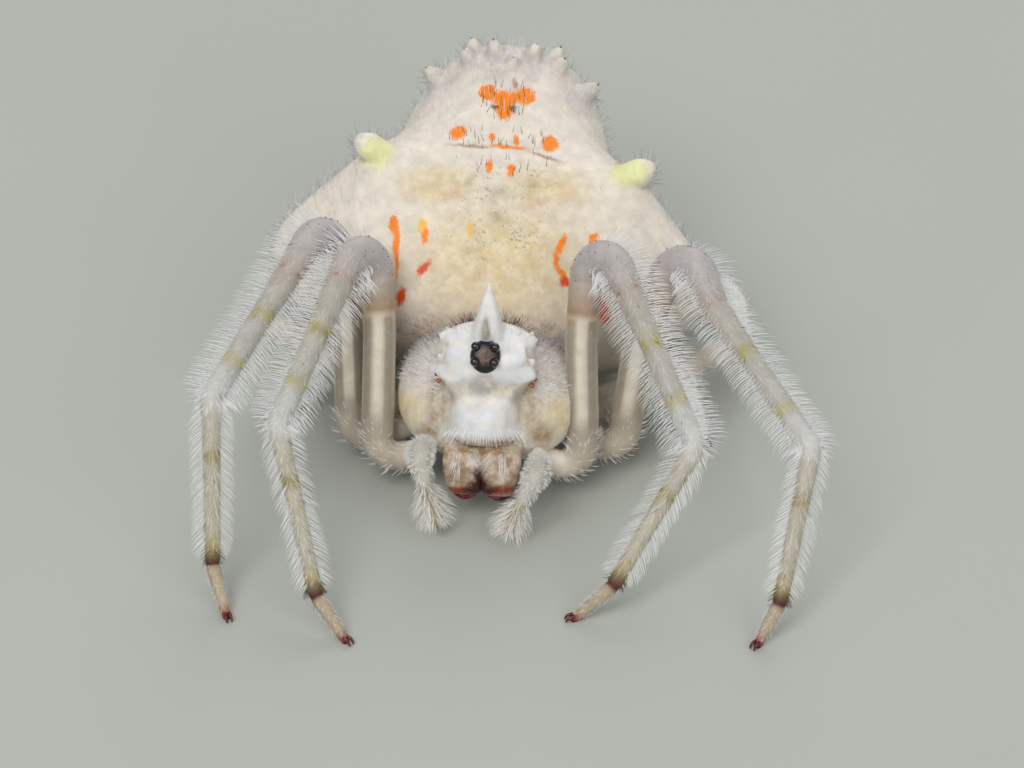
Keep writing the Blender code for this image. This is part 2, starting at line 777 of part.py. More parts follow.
def make_spinnerets(material):
    body = None
    parts = []
    for root, tip, radius in SPINNERETS:
        for side in (1, -1):
            at, to = sided(root, side), sided(tip, side)
            piece = make_object("spinnerets", lambda b: cone(b, at, to, radius, 8, 0.25, 0.8), material)
            body = body or piece
            if piece is not body:
                parts.append(piece)
    union(body, parts)
    grown = make_object("grown", lambda b: abdomen_loft(b, GAP), None)
    swing_abdomen(grown)
    cut_clear(body, [grown])
    return body


def make_spider():
    materials = {
        "prosoma": surface("porcelain_white", (0.90, 0.89, 0.88), 0.45),
        "abdomen": surface("cream_white", (0.90, 0.86, 0.78), 0.55),
        "femur": surface("pale_beige", (0.82, 0.76, 0.70), 0.40),
        "shin": surface("white_hair", (0.88, 0.87, 0.85), 0.60),
        "foot": surface("pinkish_white", (0.86, 0.80, 0.77), 0.55),
        "chelicera": surface("rosy_beige", (0.83, 0.70, 0.63), 0.35),
        "fang": surface("dark_red", (0.20, 0.03, 0.02), 0.30),
        "turret": surface("dark_brown", (0.10, 0.06, 0.045), 0.45),
        "eye": surface("glossy_black", (0.01, 0.01, 0.012), 0.08),
    }
    prosoma = make_prosoma("carapace", materials["prosoma"])
    turret = make_turret(materials["turret"])
    cut_clear(turret, [make_prosoma("grown", None, GAP, False)])
    make_eyes(turret, prosoma, materials["eye"])
    pieces = [make_abdomen(materials)]
    coats = []
    for name, corners in FRONT_LEGS.items():
        leg, leg_coats = make_leg(name, corners, FRONT_BENDS, FRONT_RADII, FRONT_COAT, 10, materials)
        pieces += leg
        coats += leg_coats
    for name, corners in HIND_LEGS.items():
        for side, word in ((1, "left"), (-1, "right")):
            placed = {place: sided(corner, side) for place, corner in corners.items()}
            full_name = f"{name}_{word}"
            leg, leg_coats = make_leg(full_name, placed, HIND_BENDS, HIND_RADII, HIND_COAT, 8, materials)
            pieces += leg
            coats += leg_coats
    for side, word in ((1, "left"), (-1, "right")):
        pieces.append(make_chelicera(side, word, materials["chelicera"]))
        make_fang(side, word, materials["fang"])
        palp, palp_coat = make_palp(word, materials["shin"])
        pieces.append(palp)
        coats.append(palp_coat)
    for piece in pieces:
        cut_clear(piece, [make_prosoma("grown", None, GAP, False)])
    make_spinnerets(materials["chelicera"])
    bodies = list(bpy.data.objects)
    for coat in coats:
        grow_coat(coat, bodies)


def main():
    random.seed(SEED)
    for obj in list(bpy.data.objects):
        bpy.data.objects.remove(obj)
    make_spider()
    for obj in bpy.data.objects:
        obj.data.shade_smooth()
        obj.data.set_sharp_from_angle(angle=math.radians(50))


main()
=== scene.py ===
"""Looks of the magnificent spider at life size: its skin, coat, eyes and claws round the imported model.

Points and sizes are in millimetres from the spot on the ground under the eyes. The spider faces -Y, with
+X on its own left and +Z up. Pixels are the photograph's, in its frame of 1024 by 768.
"""

import math

import bmesh
import bpy
import numpy as np
from mathutils import Matrix, Vector
from mathutils.bvhtree import BVHTree
from mathutils.kdtree import KDTree


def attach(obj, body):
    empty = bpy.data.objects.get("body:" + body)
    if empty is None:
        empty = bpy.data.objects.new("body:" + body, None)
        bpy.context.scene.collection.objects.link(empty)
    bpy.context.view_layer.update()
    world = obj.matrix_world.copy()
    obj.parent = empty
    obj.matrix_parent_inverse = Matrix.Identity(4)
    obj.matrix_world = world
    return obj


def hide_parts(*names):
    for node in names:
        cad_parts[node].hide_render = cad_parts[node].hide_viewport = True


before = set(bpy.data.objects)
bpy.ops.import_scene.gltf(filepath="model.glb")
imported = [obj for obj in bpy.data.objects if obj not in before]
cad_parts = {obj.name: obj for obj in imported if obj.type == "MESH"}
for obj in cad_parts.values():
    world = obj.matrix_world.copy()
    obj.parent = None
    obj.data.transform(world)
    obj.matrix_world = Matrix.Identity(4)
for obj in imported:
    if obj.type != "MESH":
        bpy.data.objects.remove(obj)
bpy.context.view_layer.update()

MM = 0.001
BELLY_Y = 5.6
TO_ROW = Matrix.Diagonal((MM, MM, MM, 1.0)) @ Matrix.Translation((0.0, -BELLY_Y, 0.0))
DRAW = np.random.default_rng(11)

# The middle of the eye turret in space and in the photograph, and the camera's place from it
FOCUS = Vector((0.0, -0.05, 4.05))
FOCUS_PIXEL = (485.0, 356.0)
FRAME_PIXELS = (1024.0, 768.0)
PIXEL_MM = 0.0225
CAMERA_DISTANCE = 95.0
CAMERA_AZIMUTH = math.radians(5.0)
CAMERA_ELEVATION = math.radians(40.0)
SENSOR_MM = 36.0

# Prosoma behind the face, from front to back: y, half width, top, widest level, underside
THORAX = (
    (-0.62, 0.00, 2.05, 2.05, 2.05),
    (-0.48, 0.88, 2.75, 1.95, 1.35),
    (0.00, 1.70, 3.12, 1.85, 0.85),
    (0.70, 2.08, 3.42, 1.85, 0.55),
    (1.50, 2.15, 3.42, 1.85, 0.45),
    (2.30, 1.92, 2.90, 1.80, 0.50),
    (2.95, 1.32, 2.30, 1.65, 0.75),
    (3.30, 0.00, 1.55, 1.55, 1.55),
)
# Face, crown and tall spike, from the clypeus edge up: z, half width, front y, back y
HEAD = (
    (2.00, 0.80, -0.80, 1.20),
    (2.20, 0.94, -0.96, 1.25),
    (2.60, 0.86, -0.99, 1.35),
    (2.95, 0.82, -0.92, 1.45),
    (3.15, 0.96, -0.62, 1.50),
    (3.40, 1.07, -0.38, 1.55),
    (3.70, 1.05, -0.24, 1.45),
    (3.90, 0.99, -0.10, 1.35),
    (4.05, 0.76, 0.10, 1.20),
    (4.15, 0.42, 0.30, 1.10),
    (4.35, 0.31, 0.42, 1.08),
    (4.65, 0.23, 0.62, 1.10),
    (4.95, 0.14, 0.80, 1.12),
)
HEAD_SQUARENESS = 0.8
SPIKE_TIP = (0.0, 1.05, 5.32)
# Short spine over the eyes and teeth along the rim of the crown: root, tip, radius at the root
CROWN_TEETH = (
    ((0.0, 0.27, 4.28), (0.0, 0.07, 5.04), 0.13),
    ((1.00, 0.78, 3.80), (1.07, 0.80, 3.90), 0.12),
    ((0.84, 0.80, 3.94), (0.89, 0.80, 4.09), 0.10),
    ((0.66, 0.80, 4.02), (0.69, 0.80, 4.17), 0.10),
    ((0.48, 0.80, 4.08), (0.50, 0.80, 4.21), 0.09),
    ((1.02, 0.30, 3.66), (1.13, 0.26, 3.75), 0.11),
    ((0.92, 1.10, 3.72), (1.00, 1.16, 3.86), 0.12),
)
# Moves that shape the head, like strokes of a thumb: place, reach and push; both sides alike
HEAD_STROKES = (
    ((1.10, 0.06, 3.42), 0.19, (0.22, -0.10, 0.02)),
    ((0.98, 0.44, 3.78), 0.16, (-0.16, 0.04, -0.02)),
    ((0.98, 0.84, 3.90), 0.14, (0.10, 0.00, 0.05)),
    ((0.30, 0.60, 4.16), 0.18, (0.00, 0.00, -0.11)),
    ((0.96, -0.48, 3.00), 0.20, (-0.10, 0.08, 0.00)),
    ((0.00, -1.02, 2.62), 0.42, (0.00, -0.12, 0.03)),
    ((0.50, -0.98, 2.55), 0.28, (0.03, -0.06, 0.00)),
    ((0.00, -0.62, 3.08), 0.30, (0.00, 0.12, 0.00)),
    ((0.62, -0.60, 3.02), 0.20, (0.00, 0.10, 0.00)),
    ((0.55, -0.22, 3.62), 0.26, (0.00, 0.06, -0.01)),
    ((0.55, 0.30, 4.02), 0.22, (0.00, 0.02, -0.05)),
    ((1.22, -0.06, 2.45), 0.10, (-0.05, 0.06, 0.00)),
    ((1.20, -0.12, 2.15), 0.10, (-0.05, 0.06, 0.00)),
    ((1.18, -0.16, 1.85), 0.10, (-0.04, 0.05, 0.00)),
)
# Abdomen, from front to back: y, half width, top, widest level, underside
ABDOMEN = (
    (2.05, 0.00, 2.75, 2.75, 2.75),
    (2.20, 1.45, 3.40, 2.75, 2.10),
    (2.70, 2.95, 4.10, 2.80, 1.20),
    (3.40, 4.40, 4.75, 2.90, 0.30),
    (4.30, 5.12, 5.15, 3.05, -0.10),
    (5.20, 4.65, 5.50, 3.25, -0.20),
    (6.10, 3.55, 5.75, 3.50, -0.15),
    (7.00, 2.70, 6.00, 3.90, 0.05),
    (7.90, 2.35, 6.30, 4.30, 0.80),
    (8.70, 1.95, 6.35, 4.70, 2.20),
    (9.20, 1.10, 5.90, 4.90, 3.70),
    (9.35, 0.00, 4.95, 4.95, 4.95),
)
ABDOMEN_ROLL = math.radians(3.5)
ABDOMEN_PIVOT = (0.0, 2.6, 3.0)
ABDOMEN_SHIFT = -0.28
SWING = (
    Matrix.Translation((ABDOMEN_SHIFT, 0.0, 0.0))
    @ Matrix.Translation(ABDOMEN_PIVOT)
    @ Matrix.Rotation(ABDOMEN_ROLL, 4, "Y")
    @ Matrix.Translation(-Vector(ABDOMEN_PIVOT))
)
# Swellings under the shoulder knobs: x, y, height and spread
SHOULDER_HUMPS = ((2.90, 5.40, 0.38, 1.00), (-2.75, 5.30, 0.38, 1.00))
# Knobs of the shoulders and tubercles of the abdomen: root x, root y, height, radius at the root; the
# tubercles off the middle are mirrored, and the knobs lean outwards from the skin's own direction
SHOULDER_KNOBS = ((2.90, 5.40, 0.66, 0.40), (-2.75, 5.30, 0.66, 0.40))
KNOB_LEAN = (0.5, 0.0, -0.3)
TUBERCLES = (
    (1.75, 8.10, 0.42, 0.30),
    (1.05, 8.30, 0.36, 0.26),
    (0.45, 8.42, 0.38, 0.26),
    (0.00, 8.05, 0.22, 0.22),
    (0.95, 8.72, 0.30, 0.24),
)
SPINNERETS = (
    ((0.16, 7.72, 0.62), (0.20, 7.86, 0.22), 0.17),
    ((0.15, 7.98, 0.70), (0.17, 8.14, 0.34), 0.14),
)
# Chelicerae: centre x, y, z, half width and half depth, from under the clypeus to the tip
CHELICERA = (
    (0.42, -0.66, 1.96, 0.46, 0.32),
    (0.42, -0.82, 1.74, 0.48, 0.38),
    (0.41, -0.92, 1.46, 0.47, 0.40),
    (0.40, -0.96, 1.22, 0.425, 0.39),
    (0.385, -0.97, 1.00, 0.40, 0.33),
    (0.37, -0.96, 0.86, 0.365, 0.23),
)
CHELICERA_SQUARENESS = 0.75
FANG = ((0.60, -0.92, 0.72), (0.38, -1.02, 0.67), (0.12, -0.98, 0.72))
FANG_RADII = (0.09, 0.08, 0.03)

# Corners of the legs' paths, from the hip to the toe. The front femora bow a little, and the left second
# leg also turns at the end of its patella
FRONT_LEGS = {
    "leg1_right": {
        "hip": (-1.30, 0.10, 1.00),
        "trochanter": (-2.51, -0.05, 0.79),
        "femur": (-2.57, 1.48, 3.34),
        "knee": (-2.82, 3.00, 5.89),
        "ankle": (-4.49, -1.95, 3.29),
        "tarsus": (-3.35, -4.75, 0.80),
        "toe": (-2.62, -5.36, 0.00),
    },
    "leg1_left": {
        "hip": (1.30, 0.10, 1.00),
        "trochanter": (2.24, 0.00, 0.71),
        "femur": (2.06, 1.52, 3.41),
        "knee": (2.16, 3.05, 6.10),
        "ankle": (4.86, -1.50, 2.96),
        "tarsus": (3.20, -3.89, 0.80),
        "toe": (2.34, -4.21, 0.00),
    },
    "leg2_right": {
        "hip": (-1.75, 1.10, 1.00),
        "trochanter": (-3.16, 0.70, 0.64),
        "femur": (-3.36, 1.95, 3.11),
        "knee": (-3.84, 3.20, 5.58),
        "ankle": (-5.99, -1.75, 3.80),
        "tarsus": (-5.77, -3.98, 0.80),
        "toe": (-5.36, -4.82, 0.00),
    },
    "leg2_left": {
        "hip": (1.75, 1.10, 1.00),
        "trochanter": (3.06, 0.85, 0.68),
        "femur": (3.39, 1.95, 3.14),
        "knee": (4.29, 3.05, 5.61),
        "patella": (5.06, 1.63, 4.47),
        "ankle": (7.44, -1.45, 3.05),
        "tarsus": (6.92, -4.12, 0.80),
        "toe": (6.47, -4.70, 0.00),
    },
}
HIND_LEGS = {
    "leg3": {
        "hip": (1.80, 1.75, 0.95),
        "trochanter": (2.60, 1.86, 0.92),
        "knee": (4.15, 2.30, 2.20),
        "ankle": (4.55, 2.35, 1.05),
        "tarsus": (4.78, 2.24, 0.40),
        "toe": (4.95, 2.05, 0.00),
    },
    "leg4": {
        "hip": (1.60, 2.35, 0.80),
        "trochanter": (2.45, 2.62, 0.70),
        "knee": (5.55, 3.50, 1.80),
        "ankle": (5.45, 6.30, 0.95),
        "tarsus": (5.10, 7.40, 0.42),
        "toe": (4.75, 8.10, 0.00),
    },
}
# Radii of the bends at the corners
FRONT_BENDS = {"trochanter": 0.45, "femur": 8.0, "knee": 0.58, "patella": 0.90, "ankle": 0.45, "tarsus": 0.60}
HIND_BENDS = {"trochanter": 0.36, "knee": 0.42, "ankle": 0.30, "tarsus": 0.40}
# Radius of the skin at the hip, trochanter, femur, knee, end of the patella, middle of the tibia, ankle,
# tarsal joint and toe
FRONT_RADII = (0.28, 0.385, 0.375, 0.415, 0.35, 0.265, 0.26, 0.17, 0.085)
HIND_RADII = (0.26, 0.32, 0.30, 0.31, 0.26, 0.22, 0.19, 0.15, 0.08)
# Landmarks on a leg, as a corner and a share of the way to the next one
LEG_LANDMARKS = {
    "patella": ("knee", 0.36),
    "ring": ("knee", 0.585),
    "second_ring": ("knee", 0.82),
    "foot_ring": ("ankle", 0.35),
    "joint": ("tarsus", 0.0),
}
LONG_LEG_LANDMARKS = {
    "patella": ("patella", 0.0),
    "ring": ("patella", 0.345),
    "second_ring": ("patella", 0.73),
    "foot_ring": ("ankle", 0.35),
    "joint": ("tarsus", 0.0),
}
PALP_CORNERS = ("hip", "elbow", "wrist", "tip")
PALP_PATHS = {
    "right": ((-1.25, -0.35, 1.60), (-1.46, -1.04, 1.98), (-1.24, -1.42, 1.28), (-0.94, -1.74, 0.36)),
    "left": ((1.25, -0.35, 1.55), (1.28, -1.14, 1.58), (0.92, -1.64, 1.04), (0.62, -1.86, 0.30)),
}
# Radius of a palp at its root, dome, waist, widest part of the tip segment, and tip
PALP_RADII = (0.16, 0.27, 0.155, 0.20, 0.12)
PALP_BEND = 0.34

# Eyes: centre and radius on the left side; the turret's foot, axis and profile of rise and radius
TURRET_BASE = (0.0, 0.22, 3.80)
TURRET_AXIS = (0.0, -0.76, 0.65)
TURRET_PROFILE = ((0.10, 0.36), (0.22, 0.35), (0.32, 0.335), (0.39, 0.30), (0.43, 0.23), (0.445, 0.12))
MEDIAN_EYES = {"upper": ((0.215, 0.05, 4.23), 0.10), "lower": ((0.215, -0.175, 3.97), 0.10)}
LATERAL_EYES = {"front": ((1.06, -0.02, 3.22), 0.058), "rear": ((1.12, 0.13, 3.29), 0.05)}


def linear(*channels):
    """A paint of 0 to 255 a channel, as the shaders' linear light."""
    shares = [channel / 255 for channel in channels]
    return tuple(c / 12.92 if c <= 0.04045 else ((c + 0.055) / 1.055) ** 2.4 for c in shares)


# Soft paints on the body, in the order they are laid on: paint and strength
SOFT_PIGMENTS = {
    "cream": (linear(216, 194, 142), 0.88),
    "lilac": (linear(194, 186, 184), 0.80),
    "dusk": (linear(172, 146, 136), 0.55),
    "beige": (linear(174, 155, 128), 0.88),
    "rose": (linear(148, 116, 88), 0.92),
    "ochre": (linear(146, 116, 64), 0.85),
    "chalk": (linear(225, 226, 227), 0.95),
    "olive": (linear(150, 140, 104), 0.40),
    "blush": (linear(206, 160, 142), 0.55),
    # grey is the small spike's own grey, and also painted shade under the eye turret and at the upper corners
    # of the clypeus bulge
    "grey_and_painted_shade": (linear(160, 154, 144), 0.80),
}
# Sharp-edged pigments over them, in this order
SHARP_PIGMENTS = {
    "freckled": (linear(120, 104, 78), 0.75),
    "lemon": (linear(234, 236, 172), 0.88),
    "yellow": (linear(248, 190, 60), 0.85),
    "brown": (linear(160, 104, 66), 0.70),
    "orange": (linear(248, 138, 0), 0.98),
    "scarlet": (linear(226, 80, 0), 0.97),
    "rust": (linear(150, 52, 24), 0.92),
    "maroon": (linear(58, 9, 9), 0.96),
    "soot": (linear(48, 36, 30), 0.80),
}
BODY_BASE = linear(228, 218, 205)
CLOUD_WHITE = linear(238, 228, 208)
# Marks on the abdomen: pigment, pixel of the middle, half width and half height in mm, turn, softness
ABDOMEN_MARKS = (
    ("cream", (500, 262), 1.90, 1.30, 0, 1.1),
    ("cream", (545, 190), 0.90, 0.45, 0, 1.3),
    ("cream", (440, 185), 0.80, 0.40, 0, 1.3),
    ("freckled", (505, 180), 0.90, 0.34, 0, 0.9),
    ("freckled", (500, 225), 0.75, 1.10, 0, 1.1),
    ("lilac", (500, 60), 1.60, 0.50, 0, 0.7),
    ("lilac", (590, 90), 0.70, 0.60, 0, 0.8),
    ("lilac", (430, 80), 0.70, 0.50, 0, 0.8),
    ("orange", (488, 92), 0.22, 0.20, 0, 0.22),
    ("orange", (525, 97), 0.25, 0.21, 0, 0.22),
    ("orange", (505, 98), 0.34, 0.19, 0, 0.30),
    ("orange", (504, 109), 0.20, 0.27, 0, 0.22),
    ("brown", (515, 84), 0.06, 0.13, 8, 0.6),
    ("soot", (495, 107), 0.09, 0.06, -20, 0.7),
    ("soot", (513, 109), 0.10, 0.07, 20, 0.7),
    ("orange", (458, 133), 0.20, 0.16, 15, 0.30),
    ("orange", (550, 144), 0.20, 0.20, 0, 0.25),
    ("orange", (492, 137), 0.07, 0.10, 0, 0.5),
    ("orange", (516, 140), 0.07, 0.15, 0, 0.5),
    ("brown", (472, 146), 0.46, 0.035, -4, 0.8),
    ("orange", (508, 147), 0.44, 0.050, -6, 0.6),
    ("dusk", (424, 330), 0.60, 0.40, 20, 1.3),
    ("dusk", (548, 338), 0.55, 0.40, -20, 1.3),
    ("dusk", (485, 322), 0.95, 0.26, 0, 1.3),
    ("brown", (545, 157), 0.34, 0.035, -16, 0.8),
    ("orange", (489, 166), 0.08, 0.15, 0, 0.45),
    ("orange", (511, 170), 0.10, 0.16, 0, 0.45),
    ("blush", (455, 195), 0.17, 0.15, 0, 0.6),
    ("blush", (538, 206), 0.19, 0.17, 0, 0.6),
    ("olive", (504, 193), 0.30, 0.16, 0, 0.8),
    ("olive", (530, 184), 0.24, 0.12, 0, 0.8),
    ("olive", (463, 179), 0.22, 0.16, 0, 0.8),
    ("olive", (497, 215), 0.20, 0.30, 0, 0.9),
    ("yellow", (469, 230), 0.06, 0.16, 0, 0.7),
    ("orange", (394, 226), 0.125, 0.22, 0, 0.25),
    ("orange", (396, 243), 0.085, 0.36, -3, 0.35),
    ("orange", (397, 262), 0.045, 0.34, -3, 0.6),
    ("scarlet", (401, 297), 0.10, 0.20, -12, 0.4),
    ("yellow", (423, 227), 0.11, 0.19, 0, 0.35),
    ("orange", (425, 236), 0.07, 0.20, -8, 0.45),
    ("scarlet", (424, 268), 0.09, 0.22, -38, 0.45),
    ("orange", (561, 245), 0.08, 0.26, -24, 0.45),
    ("orange", (556, 260), 0.06, 0.20, 4, 0.5),
    ("orange", (561, 273), 0.07, 0.20, 40, 0.45),
    ("scarlet", (565, 282), 0.13, 0.12, 0, 0.45),
    ("orange", (594, 238), 0.14, 0.10, 40, 0.4),
    ("scarlet", (604, 311), 0.14, 0.30, 6, 0.5),
    ("lemon", (377, 152), 0.36, 0.36, 0, 0.35),
    ("lemon", (629, 172), 0.42, 0.34, 0, 0.35),
)
FACE_MARKS = (
    ("lilac", (484, 350), 2.40, 0.90, 0, 0.6),
    ("cream", (404, 408), 0.36, 0.36, 0, 1.4),
    ("cream", (560, 414), 0.34, 0.36, 0, 1.4),
    ("beige", (437, 404), 0.26, 0.62, 0, 0.8),
    ("beige", (528, 406), 0.26, 0.62, 0, 0.8),
    ("ochre", (428, 431), 0.26, 0.20, 20, 1.2),
    ("ochre", (541, 434), 0.30, 0.22, -20, 1.2),
    ("ochre", (482, 443), 0.80, 0.13, 0, 0.6),
    ("chalk", (485, 351), 0.96, 0.58, 0, 0.12),
    ("chalk", (486, 336), 0.98, 0.50, 0, 0.15),
    ("chalk", (450, 341), 0.34, 0.30, 0, 0.2),
    ("chalk", (520, 343), 0.34, 0.30, 0, 0.2),
    ("chalk", (442, 371), 0.36, 0.18, -12, 0.3),
    ("chalk", (524, 375), 0.32, 0.18, 12, 0.3),
    ("chalk", (483, 374), 0.92, 0.30, 0, 0.3),
    ("chalk", (483, 415), 0.78, 0.42, 0, 0.4),
    ("chalk", (481, 431), 1.00, 0.24, 0, 0.6),
    ("chalk", (488, 300), 0.45, 1.10, 0, 0.30),
    ("grey_and_painted_shade", (485.5, 330), 0.11, 0.30, 0, 0.5),
    # Painted shade: grey under the eye turret and at the upper corners of the clypeus bulge
    ("grey_and_painted_shade", (485, 387), 0.66, 0.20, 0, 1.1),
    ("grey_and_painted_shade", (485, 380), 0.30, 0.13, 0, 1.2),
    ("grey_and_painted_shade", (449, 395), 0.20, 0.17, 0, 1.2),
    ("grey_and_painted_shade", (518, 397), 0.20, 0.17, 0, 1.2),
    ("rust", (435, 380), 0.07, 0.04, 0, 1.0),
    ("rust", (532, 384), 0.07, 0.04, 0, 1.0),
)
JAW_MARKS = (
    ("rose", (462, 470), 0.60, 0.90, 0, 0.3),
    ("rose", (499, 470), 0.60, 0.90, 0, 0.3),
    ("ochre", (462, 451), 0.50, 0.12, 0, 0.8),
    ("ochre", (499, 451), 0.50, 0.12, 0, 0.8),
    ("rust", (460, 491), 0.42, 0.095, -6, 0.7),
    ("rust", (499, 491), 0.42, 0.095, 6, 0.7),
    # Maroon wedge between the jaws: the folded fangs' own dark red, and painted shade of the gap between the
    # jaws
    ("maroon", (479.5, 481), 0.13, 0.30, 0, 0.6),
    ("maroon", (479.5, 487), 0.27, 0.20, 0, 0.5),
    ("maroon", (473, 491), 0.26, 0.09, -8, 0.6),
    ("maroon", (486, 491), 0.26, 0.09, 8, 0.6),
)
MARKS = {"abdomen": ABDOMEN_MARKS, "prosoma": FACE_MARKS, "chelicerae": JAW_MARKS}
MARK_DEPTH = 1.6
MARKS_RAGGED = 0.10

# Colours along a leg, from landmark to landmark, with a step in mm away from it
LEG_BANDS = (
    ("hip", 0.0, linear(176, 163, 142)),
    ("trochanter", -0.2, linear(188, 176, 158)),
    ("trochanter", 0.5, linear(160, 149, 132)),
    ("knee", -1.20, linear(160, 150, 134)),
    ("knee", -0.95, linear(172, 150, 122)),
    ("knee", -0.84, linear(200, 186, 166)),
    ("knee", -0.78, linear(166, 140, 112)),
    ("knee", -0.30, linear(178, 160, 142)),
    ("knee", 0.05, linear(182, 171, 164)),
    ("knee", 0.55, linear(180, 173, 172)),
    ("patella", -0.5, linear(182, 174, 170)),
    ("patella", 0.0, linear(176, 164, 152)),
    ("patella", 0.25, linear(178, 170, 160)),
    ("ring", -0.3, linear(178, 172, 160)),
    ("ring", 0.0, linear(170, 162, 134)),
    ("ring", 0.35, linear(180, 175, 166)),
    ("second_ring", -0.25, linear(180, 176, 166)),
    ("second_ring", 0.0, linear(174, 168, 138)),
    ("second_ring", 0.3, linear(190, 188, 182)),
    ("ankle", 0.0, linear(198, 197, 191)),
    ("ankle", 0.5, linear(184, 177, 161)),
    ("foot_ring", -0.25, linear(180, 171, 153)),
    ("foot_ring", 0.0, linear(160, 149, 108)),
    ("foot_ring", 0.28, linear(180, 172, 154)),
    ("joint", -0.75, linear(180, 172, 152)),
    ("joint", -0.45, linear(166, 154, 112)),
    ("joint", -0.20, linear(134, 112, 76)),
    ("joint", -0.08, linear(96, 60, 42)),
    ("joint", 0.00, linear(84, 24, 18)),
    ("joint", 0.05, linear(160, 134, 106)),
    ("joint", 0.14, linear(176, 162, 136)),
    ("toe", -0.35, linear(178, 162, 138)),
    ("toe", -0.14, linear(156, 106, 92)),
    ("toe", 0.0, linear(84, 20, 22)),
)
# Painted light on the femora: a painted highlight along the side that faces forward and up, and a painted
# glow at their rims
FEMUR_PAINTED_LIGHT = linear(214, 205, 186)
# Patches on both sides of a leg's front: landmark, degrees from the front, half length, half angle, colour
LEG_PATCHES = (
    ("ring", 40.0, 0.15, 22.0, linear(168, 158, 96)),
    ("second_ring", 46.0, 0.12, 20.0, linear(184, 174, 122)),
    ("foot_ring", 50.0, 0.14, 26.0, linear(150, 136, 90)),
    ("patella", 44.0, 0.05, 8.0, linear(170, 100, 80)),
)
HIND_PALE = linear(204, 198, 186)
PALP_DOME = linear(186, 182, 170)
PALP_COLOUR = linear(158, 146, 116)
PALP_WHITE = 0.60
FUR_WHITE = linear(238, 238, 236)
FELT_LILAC = linear(208, 202, 200)
TUFT_PURPLE = linear(118, 88, 90)
BRISTLE_DARK = linear(56, 40, 34)
DARK_RING = linear(84, 82, 58)

# Combs of strands on a leg: stretch, degrees round it, spread, count, length, tilt, bend, thickness, rings
FRONT_ROWS = (
    (("knee", 0.45, "ankle", 0.1), (0, 180), 3, 100, 0.68, 0.10, 0.32, 0.0115, 4),
    (("knee", 0.55, "ankle", 0.1), (340, 200), 4, 70, 0.60, 0.10, 0.32, 0.0110, 4),
    (("knee", 0.55, "ankle", 0.1), (24, 156), 6, 60, 0.40, 0.30, 0.40, 0.0095, 4),
    (("knee", 0.6, "ankle", 0.1), (270,), 36, 80, 0.44, 0.20, 0.50, 0.0120, 3),
    (("patella", -0.6, "ankle", 0.3), (90,), 46, 210, 0.22, 0.85, 0.30, 0.0054, 2),
    (("knee", 0.1, "patella", 0.0), (90,), 70, 110, 0.11, 1.0, 0.25, 0.0055, 2),
    (("ankle", -0.35, "ankle", 0.30), (90,), 80, 70, 0.28, 0.55, 0.40, 0.0110, 3),
    (("ankle", 0.0, "joint", -0.25), (2, 178), 14, 110, 0.46, 0.58, 0.35, 0.0098, 3),
    (("ankle", 0.0, "joint", -0.25), (270,), 42, 80, 0.34, 0.65, 0.35, 0.0120, 3),
    (("ankle", 0.2, "joint", -0.30), (90,), 50, 230, 0.26, 0.80, 0.30, 0.0056, 2),
    (("joint", 0.0, "toe", -0.15), (90,), 100, 100, 0.13, 0.95, 0.22, 0.0055, 2),
    (("trochanter", -0.2, "knee", -0.3), (90,), 110, 60, 0.07, 1.1, 0.20, 0.0040, 2),
    (("hip", 0.3, "trochanter", 0.4), (270,), 80, 110, 0.26, 0.50, 0.45, 0.0105, 3),
)
HIND_ROWS = (
    (("knee", 0.2, "ankle", 0.0), (0, 180), 28, 260, 0.36, 0.30, 0.70, 0.0105, 3),
    (("knee", 0.0, "ankle", 0.0), (90,), 60, 500, 0.16, 0.95, 0.30, 0.0080, 2),
    (("ankle", -0.1, "joint", 0.0), (0, 180), 30, 200, 0.30, 0.60, 0.50, 0.0095, 3),
    (("ankle", -0.1, "joint", 0.0), (90,), 60, 320, 0.16, 1.00, 0.30, 0.0075, 2),
    (("joint", 0.0, "toe", -0.15), (90,), 100, 160, 0.10, 0.95, 0.25, 0.0060, 2),
    (("trochanter", 0.0, "knee", 0.0), (90,), 110, 420, 0.12, 1.00, 0.20, 0.0060, 2),
)
# A narrow comb stands evenly and a wide one loosely: jitter of its places, directions and lean, its
# shortest strands, and its share of white
NARROW_SPREAD = 15
NARROW_COMB = {"wander": 0.16, "unruly": 0.022, "sway": 0.04, "shortest": 0.86, "white": 0.85}
WIDE_COMB = {"wander": 0.5, "unruly": 0.045, "sway": 0.10, "shortest": 0.72, "white": 0.70}
# Where a comb's strands lie on its unwrap: the corner and the size of the square
WHOLE_TILE = (0.0, 0.0, 1.0)
